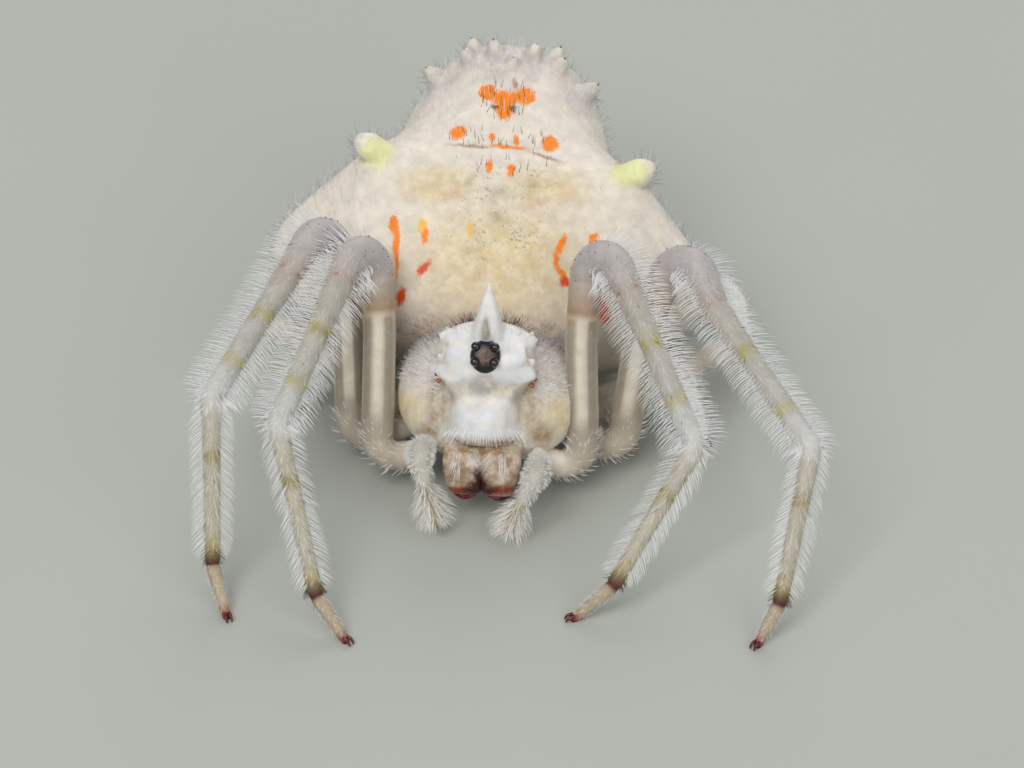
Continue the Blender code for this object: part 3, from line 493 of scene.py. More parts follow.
# Kinds of strand on the body: length, thickness, tilt, bend, colour, its share, rings and unruliness
STRANDS = {
    "short fuzz": (0.17, 0.0045, 0.95, 0.2, FUR_WHITE, 0.26, 2, 0.18),
    "long fuzz": (0.26, 0.0052, 0.45, 0.4, FUR_WHITE, 0.42, 3, 0.18),
    "rear hair": (0.34, 0.0066, 0.20, 0.35, FUR_WHITE, 0.9, 3, 0.18),
    "side hair": (0.36, 0.0075, 0.35, 0.5, linear(226, 224, 222), 0.9, 3, 0.18),
    "waist tuft": (0.26, 0.0060, 0.75, 0.2, TUFT_PURPLE, 0.75, 3, 0.18),
    "bristle": (0.24, 0.0085, 0.55, 0.1, BRISTLE_DARK, 1.0, 3, 0.18),
    "dot": (0.04, 0.013, 0.2, 0.0, BRISTLE_DARK, 0.9, 2, 0.18),
    "tubercle tip": (0.08, 0.026, 0.1, 0.0, SHARP_PIGMENTS["maroon"][0], 0.9, 2, 0.18),
    "felt": (0.14, 0.0070, 0.65, 0.3, FELT_LILAC, 0.9, 2, 0.35),
    "slope hair": (0.22, 0.0085, 0.25, 0.35, FUR_WHITE, 0.95, 3, 0.40),
    "flank hair": (0.14, 0.0065, 0.95, 0.3, FUR_WHITE, 0.8, 2, 0.18),
    "crown tuft": (0.30, 0.0066, 0.25, 0.3, TUFT_PURPLE, 0.95, 3, 0.35),
    "short fringe": (0.26, 0.0074, 0.75, 0.2, FUR_WHITE, 0.95, 3, 0.05),
    "long fringe": (0.36, 0.0074, 0.75, 0.2, FUR_WHITE, 0.95, 3, 0.05),
    "jaw streak": (0.34, 0.0050, 1.2, 0.1, FUR_WHITE, 0.80, 3, 0.06),
}
# Patches of strands: pixel of the middle, half width and half height in pixels, and count
WAIST_TUFTS = (((420, 326), 26, 12, 90), ((548, 338), 22, 14, 80), ((486, 320), 44, 8, 60))
DARK_BRISTLES = (((504, 104), 26, 22, 34), ((498, 140), 52, 10, 26), ((510, 165), 40, 14, 14))
DARK_DOTS = (((500, 215), 70, 50, 16), ((500, 170), 150, 60, 14))
# The same for the streaks on the jaws, with the way they point
JAW_STREAKS = (
    ((457, 462), 4, 12, 48, (-0.05, 0.0, -1.0)),
    ((502, 463), 4, 13, 48, (0.06, 0.0, -1.0)),
    ((471, 456), 5, 6, 28, (0.30, 0.0, -1.0)),
    ((488, 458), 4, 6, 22, (-0.20, 0.0, -1.0)),
)
# Rows of the fringe over the jaws, from the left pixel to the right one: kind, level and count
FRINGE_ENDS = (441, 524)
FRINGE_ROWS = (("short fringe", 429, 40), ("long fringe", 433, 36))
# Directions that strands are shaded as if they faced, and the way the abdomen's hair and bristles rise
HAIR_FACING = (0.0, -0.4, 0.9)
FRINGE_FACING = (0.0, -0.5, 0.86)
HAIR_RISE = (0.0, 0.55, 0.85)
BRISTLE_RISE = (0.0, 0.35, 0.95)
DOWN = (0.0, 0.0, -1.0)
# Places in the head that the felt and the tufts behind the crown lean away from
FELT_MIDDLE = (0.0, 0.2, 3.2)
TUFT_MIDDLE = (0.0, 0.9, 3.1)
# Middle and upright axis of the globes on which the coats of abdomen and head are unwrapped
ABDOMEN_GLOBE = ((0.0, 5.6, 3.0), 1)
HEAD_GLOBE = ((0.0, 0.7, 2.6), 2)
# Where a strand's rings stand along it, by their number, how much it tapers and how far it curls
RING_PLACES = {2: (-0.1, 0.5), 3: (-0.06, 0.34, 0.70), 4: (-0.05, 0.26, 0.52, 0.78)}
TAPER = 0.66
CURL = 0.6
# Half width and full height of a strand's patch on the unwrap
PATCH_HALF_WIDTH = 0.001
PATCH_HEIGHT = 0.0025
# A point of the skin is a body's own this near to it, where less than this share of its colour is a limb's
ON_BODY = 0.004
BARE_SHARE = 0.3
# The lowest that hair and legs come to the ground, short of the toes
HAIR_LOWEST = 0.004
LEG_LOWEST = 0.02

# Direction of the side of the femora that faces forward and up, towards the camera, where they get a painted
# highlight, and the spacing of points along a limb
FORWARD_UP = (0.0, -0.77, 0.64)
PATH_STEP = 0.075
# Sides of the tubes of the front legs and of the other limbs
FRONT_SIDES = 36
LIMB_SIDES = 26
# A claw's places from the toe: ahead, to the side and up, and its radii there
CLAW = ((-0.02, 0.045, 0.13), (0.10, 0.060, 0.12), (0.17, 0.055, 0.05), (0.17, 0.045, 0.006))
CLAW_RADII = (0.044, 0.036, 0.022, 0.008)
# Directions that the lateral and median eyes look in, on the left side, from the turret's axis for the latter
LATERAL_LOOK = (0.9, -0.4, 0.1)
MEDIAN_SPREAD = 0.4
MEDIAN_SWELL = 1.12
SIDES = ((1, "left"), (-1, "right"))
LEG_PIECES = ("femur", "shin", "foot")
FLESH = (
    *("carapace", "abdomen", "spinnerets", "chelicera_left", "chelicera_right", "palp_left", "palp_right"),
    *(f"{leg}_{piece}" for leg in FRONT_LEGS for piece in LEG_PIECES),
    *(f"{leg}_{word}_{piece}" for leg in HIND_LEGS for _, word in SIDES for piece in LEG_PIECES),
)
# Lights of the studio: name, place, size and power
LIGHTS = (
    ("key", (-0.07, -0.13, 0.20), 0.15, 0.33),
    ("fill", (0.14, -0.15, 0.13), 0.18, 0.14),
    ("rim", (0.03, 0.18, 0.14), 0.12, 0.15),
)
SKY_STRENGTH = 0.40
SKY_COLOUR = (0.93, 0.96, 1.0, 1.0)
FLOOR_PALES = (linear(172, 175, 166), linear(178, 181, 172))
# The floor lies this much lower than the toes, in metres
FLOOR_DROP = 0.000004


def spline(rows, position):
    """A smooth row between the given ones; position counts rows."""
    last = len(rows) - 1
    i = min(int(position), last - 1)
    t = position - i
    near = [rows[max(0, min(last, i + k))] for k in (-1, 0, 1, 2)]
    values = []
    for a, b, c, d in zip(*near):
        curve = (2 * a - 5 * b + 4 * c - d) * t * t + (3 * b - a - 3 * c + d) * t**3
        values.append(0.5 * (2 * b + (c - a) * t + curve))
    return values


def sided(point, side):
    return Vector((side * point[0], point[1], point[2]))


def sides_of(x):
    """Both sides for what lies off the middle, else one."""
    return (1, -1) if x else (1,)


def unit(vectors):
    return vectors / np.maximum(np.linalg.norm(vectors, axis=-1, keepdims=True), 1e-9)


def smooth_step(low, high, value):
    share = np.clip((value - low) / (high - low), 0.0, 1.0)
    return share * share * (3 - 2 * share)


def interpolated(place, stops, table):
    """Rows of a three-column table at places between its stops."""
    return np.stack([np.interp(place, stops, table[:, k]) for k in range(3)], axis=-1)


def only(obj):
    """Makes an object the only selected and the active one."""
    bpy.ops.object.select_all(action="DESELECT")
    obj.select_set(True)
    bpy.context.view_layer.objects.active = obj


def linked(name, data):
    """A new object in the scene for some data."""
    obj = bpy.data.objects.new(name, data)
    bpy.context.scene.collection.objects.link(obj)
    return obj


def mesh_object(name, vertices, faces):
    mesh = bpy.data.meshes.new(name)
    mesh.from_pydata([tuple(v) for v in vertices], [], faces)
    builder = bmesh.new()
    builder.from_mesh(mesh)
    bmesh.ops.recalc_face_normals(builder, faces=builder.faces)
    builder.to_mesh(mesh)
    builder.free()
    return linked(name, mesh)


def loft(name, rings, first_tip=None, last_tip=None):
    """A closed skin over rings of equal count, ended by flat caps or by tips."""
    count = len(rings[0])
    vertices = [tuple(point) for ring in rings for point in ring]
    faces = []
    for r in range(len(rings) - 1):
        for i in range(count):
            j = (i + 1) % count
            faces.append((r * count + i, r * count + j, (r + 1) * count + j, (r + 1) * count + i))
    for first, tip in ((0, first_tip), ((len(rings) - 1) * count, last_tip)):
        if tip is None:
            faces.append(tuple(range(first, first + count)))
            continue
        vertices.append(tuple(tip))
        for i in range(count):
            faces.append((first + i, first + (i + 1) % count, len(vertices) - 1))
    return mesh_object(name, vertices, faces)


def ways_round(along, count):
    """Directions at equal angles round an axis."""
    across = along.orthogonal().normalized()
    other = along.cross(across)
    turns = [2 * math.pi * i / count for i in range(count)]
    return [across * math.cos(turn) + other * math.sin(turn) for turn in turns]


def cone(name, root, tip, radius, count, sink, waist):
    """A blunt spine: a root ring sunk under the skin, swelling rings between, and a round tip."""
    root, tip = Vector(root), Vector(tip)
    ways = ways_round((tip - root).normalized(), count)
    lowest = -sink / (tip - root).length
    sizes = ((lowest, 1.0), (0.1, 0.86), (0.45, waist), (0.75, waist * 0.7), (0.93, waist * 0.4))
    rings = []
    for share, size in sizes:
        centre = root.lerp(tip, share)
        rings.append([centre + way * radius * size for way in ways])
    return loft(name, rings, None, tip)


def bent_spine(name, places, radii, sides, per_place=6):
    """A curved, tapering spine through a few places, ending in a point."""
    rings = []
    for step in range((len(places) - 1) * per_place):
        centre = Vector(spline(places, step / per_place))
        ahead = Vector(spline(places, (step + 1) / per_place))
        radius = spline([(r,) for r in radii], step / per_place)[0]
        ways = ways_round((ahead - centre).normalized(), sides)
        rings.append([centre + way * radius for way in ways])
    return loft(name, rings, None, places[-1])


def joined(obj, others):
    only(obj)
    for other in others:
        other.select_set(True)
    bpy.ops.object.join()
    return obj


def apply_modifier(obj, kind, **settings):
    modifier = obj.modifiers.new(kind, kind)
    for name, value in settings.items():
        setattr(modifier, name, value)
    only(obj)
    bpy.ops.object.modifier_apply(modifier=modifier.name)


def remeshed(obj, voxel, rounds, keep):
    """One even skin over everything joined in the object, smoothed, then thinned where it is flat."""
    only(obj)
    obj.data.remesh_voxel_size = voxel
    bpy.ops.object.voxel_remesh()
    apply_modifier(obj, "SMOOTH", factor=0.5, iterations=rounds)
    apply_modifier(obj, "DECIMATE", ratio=keep)


def united(obj, others):
    """One closed skin from closed ones that cross."""
    group = bpy.data.collections.new("crossing")
    for other in others:
        group.objects.link(other)
    apply_modifier(
        obj, "BOOLEAN", operation="UNION", operand_type="COLLECTION", collection=group, solver="MANIFOLD"
    )
    for other in others:
        bpy.data.objects.remove(other)
    bpy.data.collections.remove(group)


def read_rows(items, field, width, kind=np.float32):
    """A field of a mesh's points, faces or attributes, a row for each."""
    values = np.empty(len(items) * width, kind)
    items.foreach_get(field, values)
    return values.reshape(-1, width)


def points_of(mesh):
    return read_rows(mesh.vertices, "co", 3).astype(float)


def set_points(mesh, points):
    mesh.vertices.foreach_set("co", np.ascontiguousarray(points, np.float32).ravel())
    mesh.update()


def attribute(mesh, name, kind, values):
    field = {"FLOAT": "value", "FLOAT_VECTOR": "vector", "FLOAT_COLOR": "color"}[kind]
    layer = mesh.attributes.new(name, kind, "POINT")
    layer.data.foreach_set(field, np.ascontiguousarray(values, np.float32).ravel())


def finished(obj, material, slot, *nodes):
    """Puts a piece in the row's frame, smooth and painted, riding on the body, in place of its nodes."""
    obj.data.transform(TO_ROW)
    obj.data.shade_smooth()
    obj.data.materials.clear()
    obj.data.materials.append(material)
    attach(obj, "root")
    if nodes:
        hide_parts(*nodes)


def slices(rows, per_row):
    """The given rows with smooth ones between them."""
    return [spline(rows, step / per_row) for step in range((len(rows) - 1) * per_row + 1)]


def body_loft(name, rows, sides, per_row, humps=()):
    """A rounded body from its rows, whose first and last are its poles."""
    angle = 2 * np.pi * (np.arange(sides) + 0.5) / sides
    rise = np.sin(angle)
    rings = []
    for y, half, top, middle, under in slices(rows, per_row)[1:-1]:
        reach = np.where(rise > 0, top - middle, middle - under)
        ring = np.stack((half * np.cos(angle), np.full(sides, y), middle + reach * rise), axis=1)
        for root, out, height, spread in humps:
            away = np.linalg.norm(ring - np.array(root), axis=1)
            ring = ring + np.array(out) * (height * np.exp(-((away / spread) ** 2)))[:, None]
        rings.append(ring)
    front, back = rows[0], rows[-1]
    return loft(name, rings, (0.0, front[0], front[3]), (0.0, back[0], back[3]))


def squared(wave, power):
    """A sine or cosine flattened so that its ellipse turns squarer."""
    return np.sign(wave) * np.abs(wave) ** power


def head_loft(sides, per_row):
    """Face, crown and tall spike, from level slices that are squarer than an ellipse."""
    angle = 2 * np.pi * (np.arange(sides) + 0.5) / sides
    wide = squared(np.cos(angle), HEAD_SQUARENESS)
    deep = squared(np.sin(angle), HEAD_SQUARENESS)
    rings = []
    for z, half, front, back in slices(HEAD, per_row):
        across = (front + back) / 2 + (back - front) / 2 * deep
        rings.append(np.stack((half * wide, across, np.full(sides, z)), axis=1))
    return loft("head", rings, None, SPIKE_TIP)


def abdomen_top(x, y):
    """The height of the abdomen's upper side over x, y, before it leans."""
    low, high = 0.0, len(ABDOMEN) - 1.0
    for _ in range(40):
        middle = (low + high) / 2
        if spline(ABDOMEN, middle)[0] < y:
            low = middle
        else:
            high = middle
    _, half, top, level, _ = spline(ABDOMEN, low)
    return level + (top - level) * math.sqrt(max(0.0, 1 - (x / half) ** 2))


def abdomen_spot(x, y):
    """The place on the abdomen's upper side over x, y, and the direction out of it."""
    step = 0.05
    along_x = (abdomen_top(x + step, y) - abdomen_top(x - step, y)) / (2 * step)
    along_y = (abdomen_top(x, y + step) - abdomen_top(x, y - step)) / (2 * step)
    return Vector((x, y, abdomen_top(x, y))), Vector((-along_x, -along_y, 1.0)).normalized()


def stroke(points, strokes):
    """Points moved by soft pushes, the same on both sides."""
    for place, reach, push in strokes:
        for side in sides_of(place[0]):
            away = np.linalg.norm(points - np.array(sided(place, side)), axis=1)
            points = points + np.array(sided(push, side)) * np.exp(-((away / reach) ** 2))[:, None]
    return points


def make_prosoma():
    body = body_loft("prosoma", THORAX, sides=96, per_row=10)
    parts = [head_loft(sides=80, per_row=10)]
    for root, tip, radius in CROWN_TEETH:
        for side in sides_of(root[0]):
            ends = (sided(root, side), sided(tip, side))
            parts.append(cone("tooth", *ends, radius, count=14, sink=0.12, waist=0.55))
    joined(body, parts)
    remeshed(body, voxel=0.034, rounds=3, keep=0.42)
    set_points(body.data, stroke(points_of(body.data), HEAD_STROKES))
    return body


def make_abdomen():
    humps = []
    for x, y, height, spread in SHOULDER_HUMPS:
        root, out = abdomen_spot(x, y)
        humps.append((root, out, height, spread))
    body = body_loft("abdomen", ABDOMEN, sides=150, per_row=14, humps=humps)
    parts = []
    tips = []
    for x, y, height, radius in SHOULDER_KNOBS:
        root, out = abdomen_spot(x, y)
        root = root + out * SHOULDER_HUMPS[0][2]
        out = (out + sided(KNOB_LEAN, math.copysign(1.0, x))).normalized()
        parts.append(cone("knob", root, root + out * height, radius, count=24, sink=0.5, waist=0.85))
    for x, y, height, radius in TUBERCLES:
        for side in sides_of(x):
            root, out = abdomen_spot(side * x, y)
            tip = root + out * height
            parts.append(cone("tubercle", root, tip, radius, count=18, sink=0.2, waist=0.70))
            tips.append((SWING @ tip, SWING.to_3x3() @ out))
    joined(body, parts)
    remeshed(body, voxel=0.058, rounds=5, keep=0.35)
    body.data.transform(SWING)
    points = points_of(body.data)
    points[:, 2] = np.maximum(points[:, 2], 0.0)
    set_points(body.data, points)
    return body, tips


def rounded_path(corners, bends):
    """Points along straight runs joined by arcs, and where each corner's arc begins and ends along it."""
    names = list(corners)
    points = [Vector(corners[names[0]])]
    marks = {}

    def run_to(end):
        start = points[-1]
        count = max(1, round((end - start).length / PATH_STEP))
        for k in range(1, count + 1):
            points.append(start.lerp(end, k / count))

    def length():
        return sum((b - a).length for a, b in zip(points, points[1:]))

    for before, name, after in zip(names, names[1:], names[2:]):
        corner, bend = Vector(corners[name]), bends[name]
        back = (Vector(corners[before]) - corner).normalized()
        ahead = (Vector(corners[after]) - corner).normalized()
        half = back.angle(ahead) / 2
        reach = bend / math.tan(half)
        start, end = corner + back * reach, corner + ahead * reach
        centre = corner + (back + ahead).normalized() * (bend / math.sin(half))
        run_to(start)
        entered = length()
        turn = math.pi - 2 * half
        count = max(3, round(turn * bend / PATH_STEP))
        axis = (start - centre).cross(end - centre).normalized()
        for k in range(1, count + 1):
            points.append(centre + Matrix.Rotation(turn * k / count, 3, axis) @ (start - centre))
        marks[name] = (entered, length())
    run_to(Vector(corners[names[-1]]))
    return points, marks


class Limb:
    """A bent limb: its path, its landmarks, and the frame and radius at any distance along it."""

    def __init__(self, name, corners, bends, plane):
        self.name = name
        points, self.marks = rounded_path(corners, bends)
        self.points = np.array([tuple(point) for point in points])
        steps = np.linalg.norm(np.diff(self.points, axis=0), axis=1)
        self.stations = np.concatenate(([0.0], np.cumsum(steps)))
        self.length = self.stations[-1]
        self.corners = {word: np.array(corner) for word, corner in corners.items()}
        self.tangents = unit(np.gradient(self.points, self.stations, axis=0))
        first, middle, last = (self.corners[word] for word in plane)
        side = np.cross(middle - first, last - middle)
        sides = []
        for tangent in self.tangents:
            side = unit(side - tangent * np.dot(side, tangent))
            sides.append(side)
        self.sides = np.array(sides)
        self.places = {"hip": 0.0, "toe": self.length}

    def towards_next(self, name, share):
        """Distance along the limb of a place between a corner and the next one."""
        names = list(self.corners)
        corner, after = self.corners[name], self.corners[names[names.index(name) + 1]]
        place = corner + (after - corner) * share
        return self.stations[np.argmin(np.linalg.norm(self.points - place, axis=1))]

    def set_radii(self, values, joints):
        """The radius along the limb, with a shallow groove at each joint."""
        distances, radii = zip(*values)
        self.radius_table = np.interp(self.stations, distances, radii)
        kernel = np.hanning(7)
        kernel /= kernel.sum()
        padded = np.pad(self.radius_table, 3, mode="edge")
        self.radius_table = np.convolve(padded, kernel, mode="valid")
        for joint, depth, reach in joints:
            self.radius_table -= depth * np.exp(-(((self.stations - joint) / reach) ** 2))

    def radius(self, distance):
        return np.interp(distance, self.stations, self.radius_table)

    def frame(self, distance):
        """Centre, tangent, sideways and outward directions at distances along the limb."""
        tables = (self.points, self.tangents, self.sides)
        centre, tangent, side = (interpolated(distance, self.stations, table) for table in tables)
        tangent = unit(tangent)
        side = unit(side - tangent * np.sum(side * tangent, axis=-1, keepdims=True))
        return centre, tangent, side, np.cross(tangent, side)

    def front(self):
        """Degrees round the femur of the side that faces forward and up."""
        _, _, side, back = self.frame((self.places["trochanter"] + self.places["knee"]) / 2)
        return math.degrees(math.atan2(np.dot(back, FORWARD_UP), np.dot(side, FORWARD_UP)))

    def skin(self, sides):
        angle = 2 * np.pi * np.arange(sides) / sides
        centre, _, side, back = self.frame(self.stations)
        ways = np.cos(angle)[:, None] * side[:, None] + np.sin(angle)[:, None] * back[:, None]
        rings = centre[:, None] + self.radius_table[:, None, None] * ways
        if "toe" in self.corners:
            rings[:-1, :, 2] = np.maximum(rings[:-1, :, 2], LEG_LOWEST)
            rings[-1, :, 2] = 0.0
        return loft(self.name, list(rings))


def make_leg(name, corners, bends, radii, landmarks):
    limb = Limb(name, corners, bends, ("trochanter", "knee", "ankle"))
    hip, trochanter, femur, knee, patella, tibia, ankle, tarsus, toe = radii
    marks = limb.marks
    for word, (corner, share) in landmarks.items():
        limb.places[word] = limb.towards_next(corner, share)
    limb.places["trochanter"] = marks["trochanter"][1]
    limb.places["knee"] = marks["knee"][0]
    limb.places["ankle"] = sum(marks["ankle"]) / 2
    values = (
        (0.0, hip),
        (marks["trochanter"][1], trochanter),
        ((marks["trochanter"][1] + marks["knee"][0]) / 2, femur),
        (marks["knee"][0] - 0.4, femur),
        (sum(marks["knee"]) / 2, knee),
        (marks["knee"][1] + 0.2, patella),
        (limb.places["ring"], tibia),
        (marks["ankle"][0], ankle),
        (marks["ankle"][1] + 0.6, ankle * 0.8),
        (limb.places["joint"], tarsus),
        (limb.length - 0.3, toe * 1.5),
        (limb.length, toe),
    )
    joints = (
        (limb.places["knee"], 0.03, 0.06),
        (limb.places["patella"], 0.02, 0.06),
        (limb.places["ankle"], 0.02, 0.08),
        (limb.places["joint"], 0.02, 0.04),
    )
    limb.set_radii(values, joints)
    return limb


def make_palp(word):
    corners = dict(zip(PALP_CORNERS, PALP_PATHS[word]))
    limb = Limb("palp_" + word, corners, {"elbow": PALP_BEND, "wrist": PALP_BEND}, PALP_CORNERS[1:])
    elbow, wrist = limb.marks["elbow"], limb.marks["wrist"]
    root, dome, waist, middle, tip = PALP_RADII
    values = (
        (0.0, root),
        (sum(elbow) / 2, dome),
        (wrist[0], waist),
        (wrist[1] + 0.3, middle),
        (limb.length - 0.15, middle * 0.9),
        (limb.length, tip),
    )
    limb.set_radii(values, ())
    limb.places["elbow"] = sum(elbow) / 2
    limb.places["wrist"] = wrist[0]
    return limb


def make_limbs():
    legs = {}
    for name, corners in FRONT_LEGS.items():
        landmarks = LONG_LEG_LANDMARKS if "patella" in corners else LEG_LANDMARKS
        legs[name] = make_leg(name, corners, FRONT_BENDS, FRONT_RADII, landmarks)
    for name, corners in HIND_LEGS.items():
        for side, word in SIDES:
            placed = {place: tuple(sided(corner, side)) for place, corner in corners.items()}
            full_name = f"{name}_{word}"
            legs[full_name] = make_leg(full_name, placed, HIND_BENDS, HIND_RADII, LEG_LANDMARKS)
    palps = {"palp_" + word: make_palp(word) for word in PALP_PATHS}
    return legs, palps


def make_chelicera(side, sides=44, per_row=8):
    angle = 2 * np.pi * np.arange(sides) / sides
    wide = squared(np.cos(angle), CHELICERA_SQUARENESS)
    deep = squared(np.sin(angle), CHELICERA_SQUARENESS)
    rings = []
    for x, y, z, half, depth in slices(CHELICERA, per_row):
        rings.append(np.stack((side * x + half * wide, y + depth * deep, np.full(sides, z)), axis=1))
    return loft("chelicera", rings)


def make_spinnerets():
    parts = []
    for root, tip, radius in SPINNERETS:
        for side in sides_of(root[0]):
            ends = (sided(root, side), sided(tip, side))
            parts.append(cone("spinneret", *ends, radius, count=16, sink=0.30, waist=0.8))
    return parts


def tree_of(*pieces):
    """All the faces of some pieces, as something that a line of sight can hit."""
    points, faces = [], []
    for piece in pieces:
        first = len(points)
        points += [vertex.co.copy() for vertex in piece.data.vertices]
        faces += [tuple(first + i for i in face.vertices) for face in piece.data.polygons]
    return BVHTree.FromPolygons(points, faces)


def camera_axes():
    """Right, up and back of the camera, from its azimuth and elevation."""
    level = math.cos(CAMERA_ELEVATION)
    across, ahead = math.cos(CAMERA_AZIMUTH), math.sin(CAMERA_AZIMUTH)
    back = Vector((ahead * level, -across * level, math.sin(CAMERA_ELEVATION)))
    right = Vector((across, ahead, 0.0))
    return right, back.cross(right), back


RIGHT, UP, BACK = camera_axes()
EYE = (
    FOCUS
    + BACK * CAMERA_DISTANCE
    + RIGHT * (FRAME_PIXELS[0] / 2 - FOCUS_PIXEL[0]) * PIXEL_MM
    - UP * (FRAME_PIXELS[1] / 2 - FOCUS_PIXEL[1]) * PIXEL_MM
)


def under_pixel(tree, pixel):
    """The place that a pixel of the photograph shows on a body, and the direction out of it."""
    aim = (
        FOCUS
        + RIGHT * (pixel[0] - FOCUS_PIXEL[0]) * PIXEL_MM
        - UP * (pixel[1] - FOCUS_PIXEL[1]) * PIXEL_MM
    )
    ray = (aim - EYE).normalized()
    place, out, _, _ = tree.ray_cast(EYE, ray)
    if place is None:
        place, out, _, _ = tree.find_nearest(aim)
    return place, out


def band_colours(limb, distance, angle):
    """The colour of a leg at distances and angles round it."""
    rows = []
    for landmark, step, colour in LEG_BANDS:
        rows.append((limb.places[landmark] + step * min(1.0, limb.length / 14.0), colour))
    rows.sort(key=lambda row: row[0])
    stops = np.array([row[0] for row in rows])
    paints = np.array([row[1] for row in rows])
    colours = interpolated(distance, stops, paints)
    degrees = np.degrees(angle)
    on_femur = smooth_step(0.2, 0.8, distance - limb.places["trochanter"])
    on_femur = on_femur * smooth_step(0.75, 0.95, limb.places["knee"] - distance)
    # Painted light on the femur: lighter along the side facing forward and up as a painted highlight, and
    # lighter at the rims as painted glow of light through them
    inner = np.abs((degrees - limb.front() + 180.0) % 360.0 - 180.0)
    edge = smooth_step(48.0, 78.0, inner)
    painted_light = np.maximum(1.0 - smooth_step(15.0, 27.0, inner), 0.7 * edge) * on_femur
    colours += (np.array(FEMUR_PAINTED_LIGHT) - colours) * painted_light[..., None]
    streaks = 0.07 * np.sin(inner * 0.31 + 0.4) * np.sin(inner * 0.13 + distance * 0.5) * on_femur
    colours *= 1.0 + streaks[..., None]
    if limb.name[:4] in HIND_LEGS:
        colours += (np.array(HIND_PALE) - colours) * 0.7
    for landmark, middle, half_length, half_angle, paint in LEG_PATCHES:
        along = (distance - limb.places[landmark]) / half_length
        for way in (1, -1):
            turn = (degrees - 90.0 - way * middle + 180.0) % 360.0 - 180.0
            share = 0.85 * (1.0 - smooth_step(0.3, 1.5, np.hypot(along, turn / half_angle)))
            colours += (np.array(paint) - colours) * share[..., None]
    return colours


def limb_colours(limb, distance, angle):
    if limb.name.startswith("palp"):
        below = smooth_step(-0.10, 0.15, distance - limb.places["wrist"])[:, None]
        return np.array(PALP_DOME) + (np.array(PALP_COLOUR) - np.array(PALP_DOME)) * below
    return band_colours(limb, distance, angle)


def marks_of(pigment, tables):
    """Each mark of one pigment: its middle on its body, its axes, half sizes and softness."""
    for tree, table in tables:
        for word, pixel, half_width, half_height, turn, softness in table:
            if word == pigment:
                centre, _ = under_pixel(tree, pixel)
                axes = Matrix((RIGHT, UP, BACK)).transposed() @ Matrix.Rotation(math.radians(turn), 3, "Z")
                yield centre, axes, (half_width, half_height, MARK_DEPTH), softness


def body_painter(tables):
    """A function that gives the body's soft colours at points, from the soft marks."""
    layers = []
    for pigment, (paint, strength) in SOFT_PIGMENTS.items():
        marks = []
        for centre, axes, half, softness in marks_of(pigment, tables):
            marks.append((np.array(centre), np.array(axes), np.array(half), softness * 0.7))
        layers.append((np.array(paint), strength, marks))

    def paint_at(points):
        colours = np.tile(np.array(BODY_BASE), (len(points), 1))
        for paint, strength, marks in layers:
            share = np.zeros(len(points))
            for centre, basis, half, soft in marks:
                away = np.linalg.norm((points - centre) @ basis / half, axis=1)
                share = np.maximum(share, 1.0 - smooth_step(1.0 - soft, 1.0 + soft, away))
            colours += (paint - colours) * (strength * share)[:, None]
        return colours

    return paint_at


def paint_limbs(mesh, limbs, body_paint):
    """Gives the skin the body's soft colours and the limbs' own, with how far each point is a limb's."""
    stations = KDTree(sum(len(limb.points) for limb in limbs))
    owners = []
    for i, limb in enumerate(limbs):
        for k, point in enumerate(limb.points):
            stations.insert(point, len(owners))
            owners.append((i, k))
    stations.balance()
    points = points_of(mesh)
    nearest = np.array([owners[stations.find(point)[1]] for point in points])
    colours = np.zeros((len(points), 4))
    colours[:, :3] = body_paint(points)
    for i, limb in enumerate(limbs):
        mine = np.nonzero(nearest[:, 0] == i)[0]
        k = nearest[mine, 1]
        offset = points[mine] - limb.points[k]
        distance = limb.stations[k] + np.sum(offset * limb.tangents[k], axis=1)
        centre, _, side, back = limb.frame(distance)
        offset = points[mine] - centre
        angle = np.arctan2(np.sum(offset * back, axis=1), np.sum(offset * side, axis=1))
        reach = np.linalg.norm(offset, axis=1) - limb.radius(distance)
        own = limb_colours(limb, distance, angle)
        start = 0.5 if limb.name.startswith("palp") else 0.9
        on_it = (1.0 - smooth_step(0.03, 0.10, reach)) * smooth_step(0.2, start, distance)
        colours[mine, 3] = on_it
        colours[mine, :3] += (own - colours[mine, :3]) * on_it[:, None]
    attribute(mesh, "own_colour", "FLOAT_COLOR", colours)


def add_node(tree, kind, inputs=(), **settings):
    """A node with its settings, and its inputs set to values or linked to sockets."""
    node = tree.nodes.new(kind)
    for name, value in settings.items():
        setattr(node, name, value)
    for key, value in dict(inputs).items():
        socket = node.inputs[key]
        if isinstance(value, bpy.types.NodeSocket):
            tree.links.new(value, socket)
        else:
            socket.default_value = value
    return node


def math_node(tree, operation, first, second):
    return add_node(tree, "ShaderNodeMath", {0: first, 1: second}, operation=operation).outputs[0]


def product(tree, first, *others):
    for other in others:
        first = math_node(tree, "MULTIPLY", first, other)
    return first


def mixed(tree, share, first, second):
    """A colour between two, which may be colours or sockets."""
    inputs = {0: share, 6: first, 7: second}
    for key in (6, 7):
        if not isinstance(inputs[key], bpy.types.NodeSocket):
            inputs[key] = (*inputs[key][:3], 1.0)
    return add_node(tree, "ShaderNodeMix", inputs, data_type="RGBA").outputs[2]


def noise(tree, place, scale, detail=2.0, roughness=0.5, output=0):
    inputs = {"Vector": place, "Scale": scale, "Detail": detail, "Roughness": roughness}
    return add_node(tree, "ShaderNodeTexNoise", inputs).outputs[output]


def cells(tree, place, scale):
    """The distance from the nearest of many scattered places."""
    return add_node(tree, "ShaderNodeTexVoronoi", {"Vector": place, "Scale": scale}).outputs["Distance"]


def ranged(tree, value, low, high, to_low=0.0, to_high=1.0, **settings):
    inputs = {"Value": value, "From Min": low, "From Max": high, "To Min": to_low, "To Max": to_high}
    return add_node(tree, "ShaderNodeMapRange", inputs, **settings).outputs[0]


